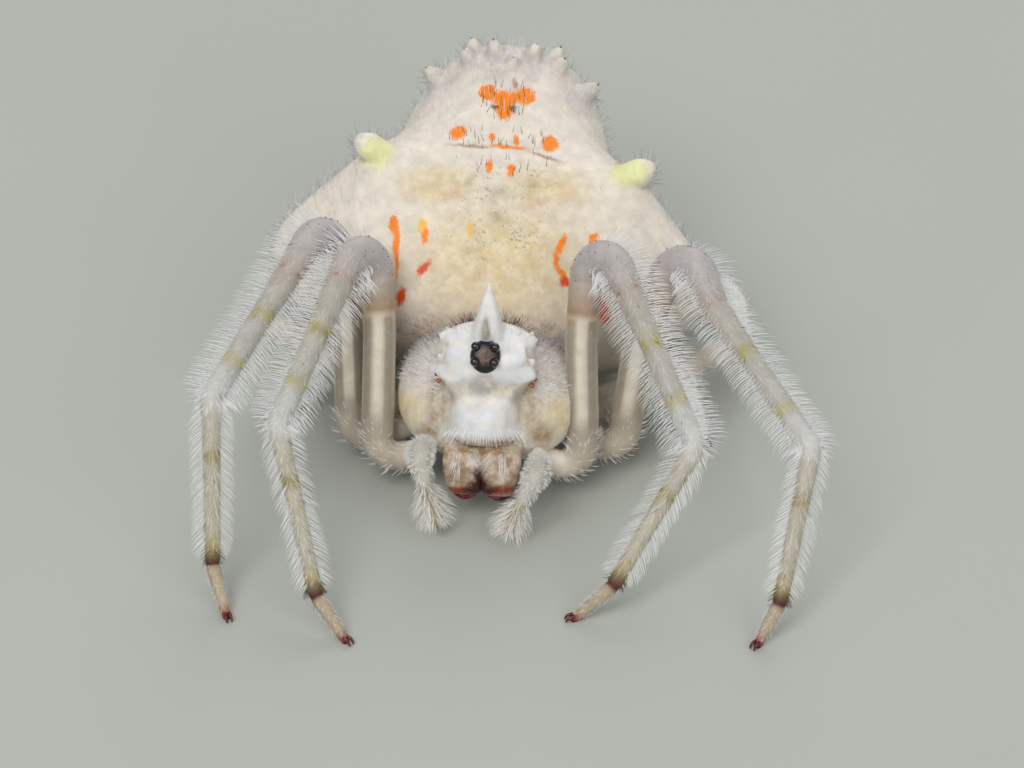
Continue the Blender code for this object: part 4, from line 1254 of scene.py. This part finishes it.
def bumped(tree, height, strength, depth):
    inputs = {"Strength": strength, "Distance": depth, "Height": height}
    return add_node(tree, "ShaderNodeBump", inputs).outputs[0]


def vector_node(tree, operation, inputs):
    """A vector node's result, which is a plain number for a length or a distance."""
    outputs = add_node(tree, "ShaderNodeVectorMath", inputs, operation=operation).outputs
    return outputs["Value" if operation in ("LENGTH", "DISTANCE") else "Vector"]


def new_group(name, inputs, outputs):
    group = bpy.data.node_groups.new(name, "ShaderNodeTree")
    for word, kind in inputs:
        group.interface.new_socket(name=word, in_out="INPUT", socket_type=kind)
    for word, kind in outputs:
        group.interface.new_socket(name=word, in_out="OUTPUT", socket_type=kind)
    return group, group.nodes.new("NodeGroupInput"), group.nodes.new("NodeGroupOutput")


def markings_group(tables):
    """Sharp body marks over a surface's own colour, at a place given in millimetres from under the eyes."""
    group, source, result = new_group(
        "body markings",
        (("Place", "NodeSocketVector"), ("Own Colour", "NodeSocketColor"), ("Limb Share", "NodeSocketFloat")),
        (("Color", "NodeSocketColor"),),
    )
    place = source.outputs["Place"]
    wander = noise(group, place, 4.2, 5.0, 0.75, "Color")
    centred = vector_node(group, "SUBTRACT", {0: wander, 1: (0.5, 0.5, 0.5)})
    ragged = vector_node(group, "SCALE", {0: centred, "Scale": 2 * MARKS_RAGGED})
    moved = vector_node(group, "ADD", {0: place, 1: ragged})
    fine = noise(group, place, 11.0, 4.0, 0.7)
    frayed = product(group, math_node(group, "SUBTRACT", fine, 0.5), 1.1)
    body_share = math_node(group, "SUBTRACT", 1.0, source.outputs["Limb Share"])
    patchy = ranged(group, noise(group, place, 2.2, 3.0), 0.46, 0.60)
    dots = ranged(group, cells(group, moved, 9.0), 0.42, 0.16)
    clouds = ranged(group, noise(group, place, 3.6, 5.0, 0.65), 0.42, 0.66)
    colour = mixed(group, product(group, clouds, 0.60, body_share), source.outputs["Own Colour"], CLOUD_WHITE)
    for pigment, (paint, strength) in SHARP_PIGMENTS.items():
        share = None
        for centre, axes, half, softness in marks_of(pigment, tables):
            on_mark = {"Vector": moved, "Location": centre, "Rotation": axes.to_euler(), "Scale": half}
            local = add_node(group, "ShaderNodeMapping", on_mark, vector_type="TEXTURE").outputs[0]
            away = math_node(group, "ADD", vector_node(group, "LENGTH", {0: local}), frayed)
            mask = ranged(group, away, 1.0 + softness, 1.0 - softness, interpolation_type="SMOOTHSTEP")
            share = mask if share is None else math_node(group, "MAXIMUM", share, mask)
        if pigment == "freckled":
            share = product(group, dots, patchy, share)
        colour = mixed(group, product(group, share, strength, body_share), colour, paint)
    group.links.new(colour, result.inputs["Color"])
    return group


def new_material(name):
    material = bpy.data.materials.new(name)
    material.use_nodes = True
    tree = material.node_tree
    return material, tree, tree.nodes["Principled BSDF"]


def set_shader(tree, shader, **inputs):
    for name, value in inputs.items():
        socket = shader.inputs[name.replace("_", " ")]
        if isinstance(value, bpy.types.NodeSocket):
            tree.links.new(value, socket)
        else:
            socket.default_value = value


def place_in_mm(tree):
    """Object coordinates as millimetres from the spot under the eyes."""
    coords = add_node(tree, "ShaderNodeTexCoord").outputs["Object"]
    inputs = {"Vector": coords, "Location": (0.0, BELLY_Y, 0.0), "Scale": (1.0 / MM,) * 3}
    return add_node(tree, "ShaderNodeMapping", inputs).outputs[0]


def marked_colour(tree, group, place):
    """A surface's own colour with the body's marks over it."""
    own = add_node(tree, "ShaderNodeAttribute", attribute_name="own_colour").outputs
    inputs = {"Place": place, "Own Colour": own["Color"], "Limb Share": own["Alpha"]}
    return add_node(tree, "ShaderNodeGroup", inputs, node_tree=group).outputs["Color"]


def skin_material(group):
    material, tree, shader = new_material("spider_skin")
    place = place_in_mm(tree)
    marked = marked_colour(tree, group, place)
    grain = noise(tree, place, 14.0, 3.0, 0.6)
    clouds = noise(tree, place, 3.2, 3.0, 0.6)
    shade = ranged(tree, clouds, 0.3, 0.7, 0.86, 1.05)
    relief = math_node(tree, "ADD", product(tree, grain, 0.5), product(tree, cells(tree, place, 9.0), 0.5))
    relief = math_node(tree, "ADD", relief, product(tree, clouds, 1.2))
    set_shader(
        tree,
        shader,
        Base_Color=vector_node(tree, "SCALE", {0: marked, "Scale": shade}),
        Roughness=ranged(tree, grain, 0.0, 1.0, 0.38, 0.58),
        Normal=bumped(tree, relief, 0.35, 0.00003),
        Subsurface_Weight=0.45,
        Subsurface_Scale=0.0002,
        Subsurface_Radius=(1.0, 0.75, 0.6),
        Specular_IOR_Level=0.35,
    )
    return material


def coat_material(group):
    material, tree, shader = new_material("spider_coat")
    root = add_node(tree, "ShaderNodeAttribute", attribute_name="root_place").outputs["Vector"]
    shade = add_node(tree, "ShaderNodeAttribute", attribute_name="shade").outputs["Fac"]
    # The shade attribute carries each strand's random tone and the painted shade at its root
    colour = vector_node(tree, "SCALE", {0: marked_colour(tree, group, root), "Scale": shade})
    set_shader(tree, shader, Base_Color=colour, Roughness=0.55, Specular_IOR_Level=0.35)
    return material


def grained_material(name, first, second, scale, low, high, coat=0.0):
    """A hard, shiny surface whose colour and gloss wander a little."""
    material, tree, shader = new_material(name)
    wander = noise(tree, place_in_mm(tree), scale, 4.0, 0.6)
    set_shader(
        tree,
        shader,
        Base_Color=mixed(tree, ranged(tree, wander, 0.35, 0.65), first, second),
        Roughness=ranged(tree, wander, 0.0, 1.0, low, high),
        Normal=bumped(tree, wander, 0.25, 0.00001),
        Coat_Weight=coat,
    )
    return material


def turret_material():
    """Brown in the middle of the disc and black round its rim."""
    material, tree, shader = new_material("turret_brown")
    place = place_in_mm(tree)
    top = Vector(TURRET_BASE) + Vector(TURRET_AXIS).normalized() * TURRET_PROFILE[-1][0]
    away = vector_node(tree, "DISTANCE", {0: place, 1: tuple(top)})
    wander = noise(tree, place, 15.0, 4.0, 0.6)
    reach = math_node(tree, "ADD", away, product(tree, wander, 0.12))
    middle = mixed(tree, ranged(tree, wander, 0.42, 0.60), linear(58, 38, 30), linear(112, 84, 70))
    colour = mixed(tree, ranged(tree, reach, 0.20, 0.30), middle, linear(16, 11, 9))
    set_shader(tree, shader, Base_Color=colour, Roughness=0.42, Normal=bumped(tree, wander, 0.3, 0.00001))
    return material


class Coat:
    """A piece of the coat: strands gathered call by call, then joined in one mesh."""

    def __init__(self, name, body_paint=None, globe=None):
        self.name = name
        self.body_paint = body_paint
        self.globe = globe
        self.blocks = []

    def add(self, root, out, lean, length, width, bend, colour, share, spot, rings, facing):
        """Tapered three-sided strands that leave along out and bend over towards lean."""
        count = len(root)
        length = length[:, None]
        across = unit(np.cross(out, lean))
        shares = RING_PLACES[rings]
        rows = []
        patch = []
        for s in shares:
            centre = root + length * (out * (s - bend * s * s / 2) + lean * (CURL * bend * s * s))
            course = unit(out * (1 - bend * s) + lean * (2 * CURL * bend * s))
            other = np.cross(course, across)
            size = width * (1.0 - TAPER * max(0.0, s))
            for corner in range(3):
                turn = 2 * math.pi * corner / 3
                rows.append(centre + size * (across * math.cos(turn) + other * math.sin(turn)))
                patch.append(((corner - 1) * PATCH_HALF_WIDTH, (s - 0.5) * PATCH_HEIGHT))
        rows.append(root + length * (out * (1 - bend / 2) + lean * (CURL * bend)))
        patch.append((0.0, PATCH_HEIGHT / 2))
        points = np.stack(rows, axis=1)
        along = np.array([max(0.0, s) for s in shares for _ in range(3)] + [1.0])
        # Each strand's tone wanders at random, and it is darker towards its root as painted shade among the
        # other strands
        shade = DRAW.uniform(0.86, 1.04, (count, 1)) * (0.86 + 0.14 * np.minimum(1.0, along * 2.2))
        own = np.concatenate((np.broadcast_to(colour, (count, 3)), np.full((count, 1), share)), axis=1)
        places = spot[:, None, :] + np.array(patch)[None]
        self.blocks.append((points, shade, own, root, places, strand_faces(rings), facing))

    def build(self, material):
        first = 0
        faces, columns = [], []
        for points, shade, own, root, place, pattern, facing in self.blocks:
            count, each = points.shape[:2]
            repeated = [np.repeat(values, each, axis=0) for values in (own, root, facing)]
            columns.append((points.reshape(-1, 3), shade.reshape(-1, 1), place.reshape(-1, 2), *repeated))
            starts = first + each * np.arange(count)
            faces.append((starts[:, None, None] + pattern[None]).reshape(-1, 3))
            first += count * each
        points, shades, places, owns, roots, facings = (np.concatenate(column) for column in zip(*columns))
        faces = np.concatenate(faces)
        points[:, 2] = np.maximum(points[:, 2], HAIR_LOWEST)
        mesh = bpy.data.meshes.new(self.name)
        mesh.vertices.add(len(points))
        mesh.loops.add(faces.size)
        mesh.polygons.add(len(faces))
        mesh.vertices.foreach_set("co", points.astype(np.float32).ravel())
        mesh.loops.foreach_set("vertex_index", faces.astype(np.int32).ravel())
        mesh.polygons.foreach_set("loop_start", np.arange(0, faces.size, 3, dtype=np.int32))
        mesh.update(calc_edges=True)
        bake = mesh.uv_layers.new(name="OFBake")
        bake.data.foreach_set("uv", places[faces.ravel()].astype(np.float32).ravel())
        attribute(mesh, "shade", "FLOAT", shades)
        attribute(mesh, "own_colour", "FLOAT_COLOR", owns)
        attribute(mesh, "root_place", "FLOAT_VECTOR", roots)
        mesh.shade_smooth()
        mesh.normals_split_custom_set_from_vertices(facings.tolist())
        piece = linked(self.name, mesh)
        finished(piece, material, "hair")
        piece.visible_shadow = False
        print(self.name, len(faces), "triangles")


def strand_faces(rings):
    """The triangles of one strand: its foot, its sides ring by ring, and its tip."""
    faces = [(0, 2, 1)]
    for ring in range(rings):
        for corner in range(3):
            a, b = ring * 3 + corner, ring * 3 + (corner + 1) % 3
            if ring == rings - 1:
                faces.append((a, b, rings * 3))
            else:
                faces.append((a, b, b + 3))
                faces.append((a, b + 3, a + 3))
    return np.array(faces)


def comb(
    coat, limb, stretch, degrees, spread, count, length, tilt, bend, width, rings, tile, paint=None, **looks
):
    """Strands along a stretch of a limb, round one side of it, leaning towards its end."""
    looks = {**(NARROW_COMB if spread < NARROW_SPREAD else WIDE_COMB), **looks}
    start, end = stretch
    wander = DRAW.uniform(-looks["wander"], looks["wander"], count)
    distance = start + (end - start) * (np.arange(count) + 0.5 + wander) / count
    angle = math.radians(degrees) + DRAW.normal(0.0, math.radians(spread), count)
    centre, tangent, side, back = limb.frame(distance)
    radial = side * np.cos(angle)[:, None] + back * np.sin(angle)[:, None]
    root = centre + radial * limb.radius(distance)[:, None]
    jitter = DRAW.normal(0.0, 1.0, (count, 3))
    out = unit(radial * math.cos(tilt) + tangent * math.sin(tilt) + jitter * looks["unruly"])
    lean = unit(tangent + jitter * looks["sway"])
    colour = limb_colours(limb, distance, angle)
    if paint is None:
        colour = colour + (np.array(FUR_WHITE) - colour) * looks["white"]
    else:
        colour = np.array(paint)
    spot = np.stack((distance / limb.length, (angle / (2 * math.pi)) % 1.0), axis=1)
    spot = np.array(tile[:2]) + tile[2] * (0.02 + 0.96 * spot)
    lengths = length * DRAW.uniform(looks["shortest"], 1.12, count) * fade(distance, start, end)
    facing = unit(0.7 * radial + np.array(HAIR_FACING))
    coat.add(root, out, lean, lengths, width, bend, colour, 1.0, spot, rings, facing)


def fade(distance, start, end):
    """Strands grow shorter towards both ends of their stretch."""
    edge = min(0.35, (end - start) / 3)
    return 0.55 + 0.45 * smooth_step(0.0, edge, np.minimum(distance - start, end - distance))


def leg_coat(coat, limb, rows, tile=WHOLE_TILE):
    for (first, step, last, other), turns, spread, count, length, tilt, bend, width, rings in rows:
        stretch = (limb.places[first] + step, limb.places[last] + other)
        for degrees in turns:
            comb(coat, limb, stretch, degrees, spread, count, length, tilt, bend, width, rings, tile)
    joint = limb.places["joint"]
    share = min(1.0, limb.length / 12.0)
    ring = (joint - 0.34, joint - 0.03)
    comb(coat, limb, ring, 90, 120, int(60 * share), 0.20 * share, 0.62, 0.25, 0.0078, 3, tile, DARK_RING)
    if limb.name in FRONT_LEGS:
        knee = limb.places["knee"]
        crook, shin = (knee, knee + 1.3), (knee + 1.3, limb.length - 0.8)
        comb(coat, limb, crook, 90, 42, 12, 0.05, 0.2, 0.0, 0.017, 2, tile, BRISTLE_DARK)
        comb(coat, limb, shin, 90, 60, 10, 0.20, 0.7, 0.3, 0.008, 3, tile, BRISTLE_DARK)


def palp_coat(coat, limb, tile):
    elbow, wrist, end = limb.places["elbow"], limb.places["wrist"], limb.length
    dome, waist, tip = (elbow - 0.65, elbow + 0.36), (elbow + 0.25, wrist), (wrist, end - 0.08)
    white = PALP_WHITE
    comb(coat, limb, dome, 90, 110, 620, 0.17, 0.20, 0.35, 0.0085, 3, tile, unruly=0.16, white=white)
    comb(coat, limb, waist, 90, 110, 130, 0.15, 0.70, 0.30, 0.0070, 3, tile, white=white)
    for degrees in range(0, 360, 45):
        comb(coat, limb, tip, degrees, 8, 28, 0.50, 0.52, 0.30, 0.0120, 3, tile, unruly=0.06, white=white)
    comb(coat, limb, (wrist, end), 90, 110, 120, 0.18, 0.80, 0.35, 0.0085, 2, tile, white=white)


class Surface:
    """The finished skin as something to plant strands on: its triangles, normals and regions."""

    def __init__(self, mesh, bodies):
        mesh.calc_loop_triangles()
        self.points = points_of(mesh)
        self.normals = read_rows(mesh.vertices, "normal", 3).astype(float)
        self.triangles = read_rows(mesh.loop_triangles, "vertices", 3, np.int32)
        bare = read_rows(mesh.attributes["own_colour"].data, "color", 4)[:, 3] < BARE_SHARE
        self.part = {}
        for name, tree in bodies.items():
            self.part[name] = np.array([tree.find_nearest(p)[3] < ON_BODY for p in self.points]) & bare
        a, b, c = (self.points[self.triangles[:, corner]] for corner in range(3))
        self.areas = np.linalg.norm(np.cross(b - a, c - a), axis=1) / 2
        self.middles = self.points[self.triangles].mean(axis=1)

    def scatter(self, part, density, count):
        """Places drawn over one body, thicker where density says, with the directions out of it."""
        inside = self.part[part][self.triangles].all(axis=1)
        weights = self.areas * inside * np.maximum(density(self.middles), 0.0)
        chosen = DRAW.choice(len(weights), count, p=weights / weights.sum())
        u, v = DRAW.random((2, count))
        over = u + v > 1
        u[over], v[over] = 1 - u[over], 1 - v[over]
        shares = np.stack((1 - u - v, u, v), axis=1)[:, :, None]
        place = (self.points[self.triangles[chosen]] * shares).sum(axis=1)
        out = unit((self.normals[self.triangles[chosen]] * shares).sum(axis=1))
        return place, out


def sphere_spot(place, centre, pole):
    """Where a place lies on an unwrap of its body as a globe with its poles on one axis."""
    away = unit(place - np.array(centre))
    turn = np.arctan2(away[:, 0], away[:, 3 - pole]) / (2 * math.pi) + 0.5
    level = np.arccos(np.clip(away[:, pole], -1, 1)) / math.pi
    return np.stack((0.01 + 0.98 * turn, 0.01 + 0.98 * level), axis=1)


def plant(coat, kind, place, out, towards, facing=None):
    """Strands of one kind on a body that lie over towards one direction."""
    length, width, tilt, bend, colour, share, rings, unruly = STRANDS[kind]
    count = len(place)
    towards = np.broadcast_to(np.asarray(towards, float), (count, 3))
    lean = towards - out * np.sum(towards * out, axis=1, keepdims=True)
    lean = unit(lean + DRAW.normal(0.0, unruly, (count, 3)))
    lean = unit(lean - out * np.sum(lean * out, axis=1, keepdims=True))
    start = unit(out * math.cos(tilt) + lean * math.sin(tilt) + DRAW.normal(0.0, unruly * 0.6, (count, 3)))
    lengths = length * DRAW.uniform(0.65, 1.2, count)
    below = coat.body_paint(place)
    colour = below + (np.array(colour) - below) * share
    spot = sphere_spot(place, *coat.globe)
    facing = unit(out + 0.35 * start) if facing is None else np.tile(np.array(facing), (count, 1))
    coat.add(place, start, lean, lengths, width, bend, colour, share, spot, rings, facing)


def plant_patches(coat, kind, tree, patches, towards):
    for patch in patches:
        plant(coat, kind, *pixel_patch(tree, *patch), towards)


def abdomen_coat(surface, trees, body_paint, material):
    def upper(points):
        return smooth_step(-0.4, 1.6, points[:, 2]) * 0.9 + 0.1

    def margins(points):
        return smooth_step(2.6, 4.0, np.abs(points[:, 0])) * smooth_step(0.5, 2.0, points[:, 2])

    def rear(points):
        return smooth_step(5.2, 7.6, points[:, 1]) * smooth_step(2.0, 3.6, points[:, 2])

    coat = Coat("coat_abdomen_short", body_paint, ABDOMEN_GLOBE)
    plant(coat, "short fuzz", *surface.scatter("abdomen", upper, 5000), HAIR_RISE)
    coat.build(material)
    coat = Coat("coat_abdomen_long", body_paint, ABDOMEN_GLOBE)
    plant(coat, "long fuzz", *surface.scatter("abdomen", upper, 1100), HAIR_RISE)
    plant(coat, "rear hair", *surface.scatter("abdomen", rear, 1100), HAIR_RISE)
    plant(coat, "side hair", *surface.scatter("abdomen", margins, 2200), HAIR_RISE)
    plant_patches(coat, "waist tuft", trees["abdomen"], WAIST_TUFTS, HAIR_RISE)
    coat.build(material)


def places_under(tree, pixels):
    spots = [under_pixel(tree, pixel) for pixel in pixels]
    return np.array([tuple(place) for place, _ in spots]), np.array([tuple(out) for _, out in spots])


def pixel_patch(tree, middle, half_width, half_height, count):
    """Places on a body drawn under an oval of the photograph, half sizes in pixels."""
    turn = DRAW.uniform(0, 2 * math.pi, count)
    reach = np.sqrt(DRAW.random(count))
    pixels = []
    for a, r in zip(turn, reach):
        pixels.append((middle[0] + half_width * r * math.cos(a), middle[1] + half_height * r * math.sin(a)))
    return places_under(tree, pixels)


def pixel_row(tree, ends, level, count):
    """Places on a body drawn under a level row of the photograph's pixels, evenly spaced."""
    spacing = (ends[1] - ends[0]) / count
    pixels = []
    for i in range(count):
        x = ends[0] + spacing * (i + 0.5 + DRAW.uniform(-0.3, 0.3))
        pixels.append((x, level + DRAW.uniform(-1.2, 1.2)))
    return places_under(tree, pixels)


def bristles(trees, tips, body_paint, material):
    """Dark bristles and dots on the abdomen: round the middle mark and on the tubercles."""
    coat = Coat("coat_abdomen_bristles", body_paint, ABDOMEN_GLOBE)
    plant_patches(coat, "bristle", trees["abdomen"], DARK_BRISTLES, BRISTLE_RISE)
    plant_patches(coat, "dot", trees["abdomen"], DARK_DOTS, BRISTLE_RISE)
    place, out = (np.array([tuple(item) for item in column]) for column in zip(*tips))
    plant(coat, "tubercle tip", place - out * 0.03, out, BRISTLE_RISE)
    coat.build(material)


def prosoma_coat(surface, trees, body_paint, material):
    def slopes(points):
        x, y, z = np.abs(points[:, 0]), points[:, 1], points[:, 2]
        edge = 1.02 + 0.20 * np.exp(-(((z - 3.42) / 0.18) ** 2))
        off_mask = np.maximum(smooth_step(edge, edge + 0.12, x), smooth_step(1.15, 1.5, y))
        return off_mask * smooth_step(2.55, 3.00, z + 0.25 * y) * (1 - smooth_step(3.95, 4.1, z))

    def behind_crown(points):
        x, y, z = np.abs(points[:, 0]), points[:, 1], points[:, 2]
        rim = smooth_step(0.12, 0.25, x) * (1 - smooth_step(1.2, 1.35, x)) * smooth_step(3.35, 3.5, z)
        rim = rim * (0.25 + np.exp(-(((x - 0.50) / 0.18) ** 2)))
        back = 1.02 + 0.25 * (1.1 - x)
        return rim * smooth_step(back, back + 0.12, y)

    def flanks(points):
        return smooth_step(0.6, 0.9, np.abs(points[:, 0])) * (1 - smooth_step(1.6, 2.4, points[:, 2]))

    coat = Coat("coat_prosoma", body_paint, HEAD_GLOBE)
    for kind, count in (("felt", 2200), ("slope hair", 850)):
        place, out = surface.scatter("prosoma", slopes, count)
        plant(coat, kind, place, out, place - np.array(FELT_MIDDLE))
    plant(coat, "flank hair", *surface.scatter("prosoma", flanks, 350), DOWN)
    place, out = surface.scatter("prosoma", behind_crown, 260)
    plant(coat, "crown tuft", place, out, place - np.array(TUFT_MIDDLE))
    for kind, level, count in FRINGE_ROWS:
        place, out = pixel_row(trees["prosoma"], FRINGE_ENDS, level, count)
        fan = (place[:, :1] * np.array((0.42, 0.0, 0.0))) + np.array((0.0, -0.42, -1.0))
        plant(coat, kind, place, out, fan, FRINGE_FACING)
    for *patch, towards in JAW_STREAKS:
        plant_patches(coat, "jaw streak", trees["chelicerae"], [patch], towards)
    coat.build(material)


def make_turret(material):
    """The dark disc that carries the four middle eyes, drawn up ring by ring from a circle."""
    rise, radius = TURRET_PROFILE[0]
    bpy.ops.mesh.primitive_circle_add(vertices=72, radius=1.0, fill_type="NGON")
    turret = bpy.context.active_object
    turret.name = "turret_disc"
    bpy.ops.object.mode_set(mode="EDIT")
    bpy.ops.mesh.select_all(action="SELECT")
    bpy.ops.transform.resize(value=(radius, radius, 1.0))
    for (low, small), (high, large) in zip(TURRET_PROFILE, TURRET_PROFILE[1:]):
        bpy.ops.mesh.extrude_region_move(TRANSFORM_OT_translate={"value": (0.0, 0.0, high - low)})
        bpy.ops.transform.resize(value=(large / small, large / small, 1.0))
    bpy.ops.mesh.select_all(action="SELECT")
    bpy.ops.mesh.normals_make_consistent(inside=False)
    bpy.ops.object.mode_set(mode="OBJECT")
    axis = Vector(TURRET_AXIS).normalized()
    across = Vector((1.0, 0.0, 0.0))
    turn = Matrix((across, axis.cross(across) * 1.1, axis)).transposed().to_4x4()
    turret.data.transform(Matrix.Translation(Vector(TURRET_BASE) + axis * rise) @ turn)
    points = points_of(turret.data)
    bumpy = np.sin(points[:, 0] * 31.0) * np.sin(points[:, 2] * 27.0 + 1.0)
    set_points(turret.data, points + np.array(axis) * (0.006 * bumpy)[:, None])
    finished(turret, material, "turret", "eye_turret")


def make_eye(name, centre, radius, out, material):
    """A glossy eye: a ball with its clear front drawn out a little."""
    bpy.ops.object.select_all(action="DESELECT")
    bpy.ops.mesh.primitive_uv_sphere_add(segments=36, ring_count=22, radius=radius)
    eye = bpy.context.active_object
    eye.name = "dressed_" + name
    points = points_of(eye.data)
    front = np.maximum(points @ np.array(out) / radius, 0.0)
    points = points + np.array(out) * (0.06 * radius * front**2)[:, None] + np.array(centre)
    set_points(eye.data, points)
    finished(eye, material, "eye", name)


def make_eyes(black, amber):
    for place, (centre, radius) in MEDIAN_EYES.items():
        for side, word in SIDES:
            out = (Vector(TURRET_AXIS) + Vector((side * MEDIAN_SPREAD, 0.0, 0.0))).normalized()
            name = f"eye_median_{place}_{word}"
            make_eye(name, sided(centre, side), radius * MEDIAN_SWELL, out, black)
    for place, (centre, radius) in LATERAL_EYES.items():
        for side, word in SIDES:
            out = sided(LATERAL_LOOK, side).normalized()
            make_eye(f"eye_lateral_{place}_{word}", sided(centre, side), radius, out, amber)


def make_fangs(material):
    for side, word in SIDES:
        places = [tuple(sided(place, side)) for place in FANG]
        fang = bent_spine("dressed_fang_" + word, places, FANG_RADII, sides=20)
        finished(fang, material, "claw", "fang_" + word)


def make_claws(legs, material):
    """Two small hooked claws in front of each toe."""
    for name, limb in legs.items():
        centre, tangent, _, _ = limb.frame(np.array([limb.length]))
        ahead = Vector((tangent[0][0], tangent[0][1], 0.0)).normalized()
        level = Vector((-ahead.y, ahead.x, 0.0))
        toe = Vector(centre[0])
        pair = []
        for way in (-1, 1):
            places = []
            for forward, aside, up in CLAW:
                places.append(tuple(toe + ahead * forward + level * way * aside + Vector((0, 0, up))))
            pair.append(bent_spine("claws_" + name, places, CLAW_RADII, sides=14))
        joined(pair[0], pair[1:])
        finished(pair[0], material, "claw")


def make_skin(legs, palps):
    """One closed skin over body and limbs, its bodies as they were before, and the tubercles' tips."""
    abdomen, tips = make_abdomen()
    prosoma = make_prosoma()
    chelicerae = [make_chelicera(side) for side, _ in SIDES]
    trees = {"abdomen": tree_of(abdomen), "prosoma": tree_of(prosoma), "chelicerae": tree_of(*chelicerae)}
    tubes = [leg.skin(FRONT_SIDES if name in FRONT_LEGS else LIMB_SIDES) for name, leg in legs.items()]
    tubes += [palp.skin(LIMB_SIDES) for palp in palps.values()]
    united(abdomen, [prosoma, *chelicerae, *make_spinnerets(), *tubes])
    abdomen.name = "spider_skin"
    return abdomen, trees, tips


def make_leg_coats(legs, palps, material):
    for name in FRONT_LEGS:
        piece = Coat("coat_" + name)
        leg_coat(piece, legs[name], FRONT_ROWS)
        piece.build(material)
    hind = Coat("coat_hind_legs")
    hind_legs = [leg for name, leg in legs.items() if name not in FRONT_LEGS]
    for i, leg in enumerate(hind_legs):
        leg_coat(hind, leg, HIND_ROWS, ((i % 2) * 0.5, (i // 2) * 0.5, 0.5))
    hind.build(material)
    piece = Coat("coat_palps")
    for i, palp in enumerate(palps.values()):
        palp_coat(piece, palp, (0.5 * i, 0.0, 0.5))
    piece.build(material)


def make_spider():
    legs, palps = make_limbs()
    skin, trees, tips = make_skin(legs, palps)
    tables = [(trees[name], marks) for name, marks in MARKS.items()]
    body_paint = body_painter(tables)
    paint_limbs(skin.data, [*legs.values(), *palps.values()], body_paint)
    group = markings_group(tables)
    surface = Surface(skin.data, {name: trees[name] for name in ("abdomen", "prosoma")})
    finished(skin, skin_material(group), "cuticle", *FLESH)
    coat = coat_material(group)
    make_leg_coats(legs, palps, coat)
    prosoma_coat(surface, trees, body_paint, coat)
    abdomen_coat(surface, trees, body_paint, coat)
    bristles(trees, tips, body_paint, coat)
    make_turret(turret_material())
    black = grained_material("eye_black", linear(6, 5, 6), linear(20, 14, 14), 6.0, 0.03, 0.08, 0.6)
    amber = grained_material("eye_amber", linear(122, 62, 36), linear(168, 104, 70), 9.0, 0.20, 0.32, 0.1)
    make_eyes(black, amber)
    horn = grained_material("claw_red", linear(78, 12, 12), linear(112, 26, 20), 8.0, 0.18, 0.32, 0.3)
    make_fangs(horn)
    make_claws(legs, horn)


def make_stage():
    """A pale floor, soft light from above and from both sides, and the photograph's camera."""
    bpy.ops.object.select_all(action="DESELECT")
    bpy.ops.mesh.primitive_plane_add(size=2.0)
    floor = bpy.context.active_object
    floor.name = "pale_floor"
    floor.data.transform(Matrix.Translation((0.0, 0.0, -FLOOR_DROP)))
    material, tree, shader = new_material("pale_floor")
    cloud = noise(tree, add_node(tree, "ShaderNodeTexCoord").outputs["Object"], 60.0)
    set_shader(tree, shader, Base_Color=mixed(tree, cloud, *FLOOR_PALES), Roughness=0.8)
    floor.data.materials.append(material)
    world = bpy.data.worlds.new("soft_studio")
    world.use_nodes = True
    sky = world.node_tree.nodes["Background"].inputs
    sky["Color"].default_value = SKY_COLOUR
    sky["Strength"].default_value = SKY_STRENGTH
    bpy.context.scene.world = world
    for name, place, size, power in LIGHTS:
        light = bpy.data.lights.new(name, "AREA")
        light.size = size
        light.energy = power
        lamp = linked(name, light)
        lamp.location = place
        lamp.rotation_euler = (-Vector(place)).to_track_quat("-Z", "Y").to_euler()
    camera = bpy.data.cameras.new("camera")
    camera.sensor_width = SENSOR_MM
    camera.lens = SENSOR_MM * CAMERA_DISTANCE / (FRAME_PIXELS[0] * PIXEL_MM)
    camera.clip_start = 0.001
    camera.clip_end = 10.0
    holder = linked("camera", camera)
    holder.matrix_world = Matrix.Translation(TO_ROW @ EYE) @ Matrix((RIGHT, UP, BACK)).transposed().to_4x4()
    bpy.context.scene.camera = holder
    bpy.context.scene.view_settings.view_transform = "Standard"


make_stage()
make_spider()
